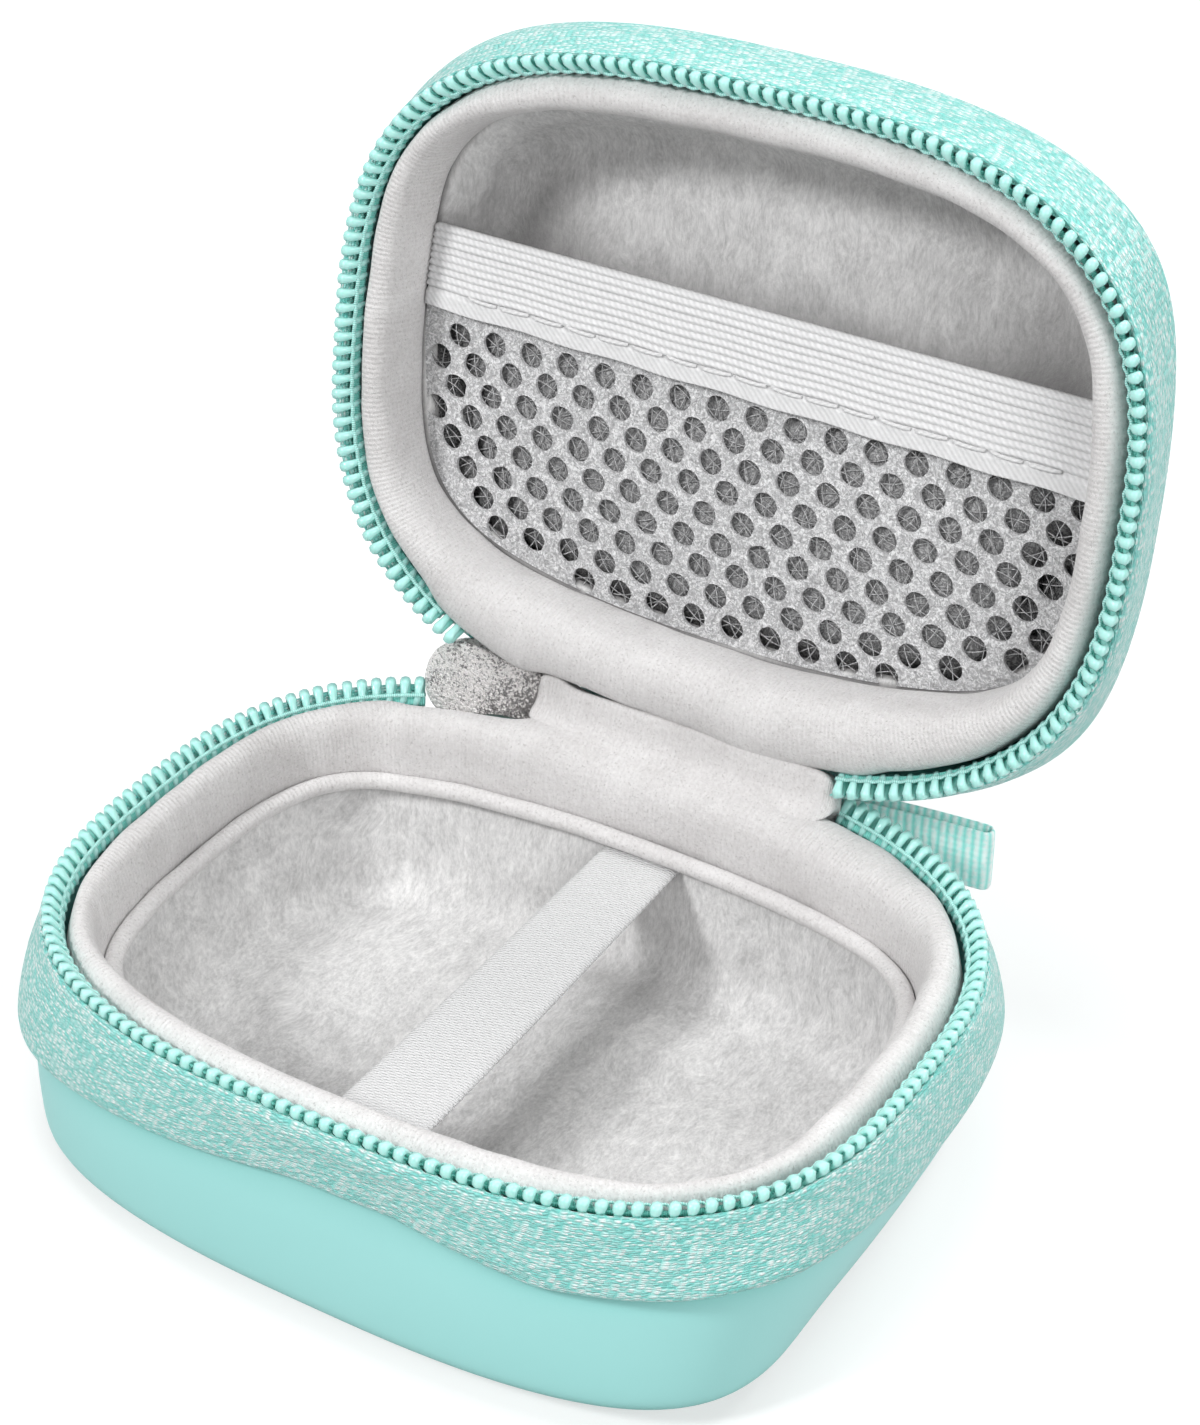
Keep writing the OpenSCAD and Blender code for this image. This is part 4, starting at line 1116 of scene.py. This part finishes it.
front_plate = leaf_plate("front_plate", -(SLIDER_T - PLATE_T) / 2)
back_plate = leaf_plate("back_plate", (SLIDER_T - PLATE_T) / 2)
for v in front_plate.data.vertices:
    p = v.co * 1000
    v.co += Vector((0.2, -0.8, 0.5)) * noise.noise(p / 0.75) * 0.00012
t = np.radians(np.linspace(0, 360, 25))
wedge = skin("wedge", [np.stack([-4.2 + 1.2 * np.cos(t), np.full_like(t, y), 1.2 * np.sin(t)], -1)
                       for y in np.linspace(-1.7, 1.7, 4)], on_slider, levels=0, capped=True)
rails = []
for side in (-1, 1):
    for y0, y1 in ((0.55, 1.9), (-1.9, -0.55)):
        corners = ((y0, -0.4), (y1, -0.4), (y1, 0.4), (y0, 0.4), (y0, -0.4))
        near, far = ([(x, y, side * 2.3 + z) for y, z in corners] for x in (-0.6, 5.8))
        rail = skin(f"rail_{side}_{y0}", [near, far], on_slider, levels=0, capped=True)
        modified(rail, "BEVEL", width=0.00012, segments=2)
        rails.append(rail)
slider = joined([front_plate, back_plate, wedge, *rails])
slider.name = slider.data.name = "slider_body"
made_of(slider, cast_metal)
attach(slider, "base")
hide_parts("zip_slider")

# Slider bridge and pull
# A cast bar on two posts behind the slider, and the stamped pull that swings on it.
look = Look("smooth_metal")
brush = look.noise(look.mapped(look.at, (1, 1, 0.12)), 3000, 3)
tint = look.mixed(look.noise(look.at, 300, 3), (0.66, 0.65, 0.64), (0.84, 0.82, 0.81))
smooth_metal = look.surface(tint, brush, 0.2, 0.00005, Metallic=1,
                            Roughness=look.total((brush, 0.2), plus=0.2))


def eased_copy(node, name, width, material):
    """A copy of a machined node with its sharp edges broken."""
    piece = frame["nodes"][node].copy()
    piece.data = piece.data.copy()
    piece.parent = None
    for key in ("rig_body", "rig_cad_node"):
        if key in piece:
            del piece[key]
    piece.name = piece.data.name = name
    bpy.context.collection.objects.link(piece)
    only(piece)
    reworked((bpy.ops.mesh.remove_doubles, {"threshold": 1e-6}),
             (bpy.ops.mesh.dissolve_limited, {"angle_limit": math.radians(2)}))
    modified(piece, "BEVEL", width=width / 1000, segments=3, limit_method="ANGLE",
             angle_limit=math.radians(50))
    bpy.ops.object.shade_smooth_by_angle(angle=math.radians(35))
    piece.data.materials.clear()
    made_of(piece, material)
    return piece


bridge = eased_copy("slider_bridge", "bridge", 0.12, smooth_metal)
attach(bridge, "base")
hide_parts("slider_bridge")
pull = eased_copy("pull_tab", "pull", 0.15, smooth_metal)
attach(pull, "pull")
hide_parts("pull_tab")

# Tape end
# The cut and sealed end of the zip tape that looks out past the slider's tail.
tape_stub = eased_copy("zip_tape_end", "tape_stub", 0.1, tape_with_painted_highlights)
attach(tape_stub, "base")
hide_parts("zip_tape_end")
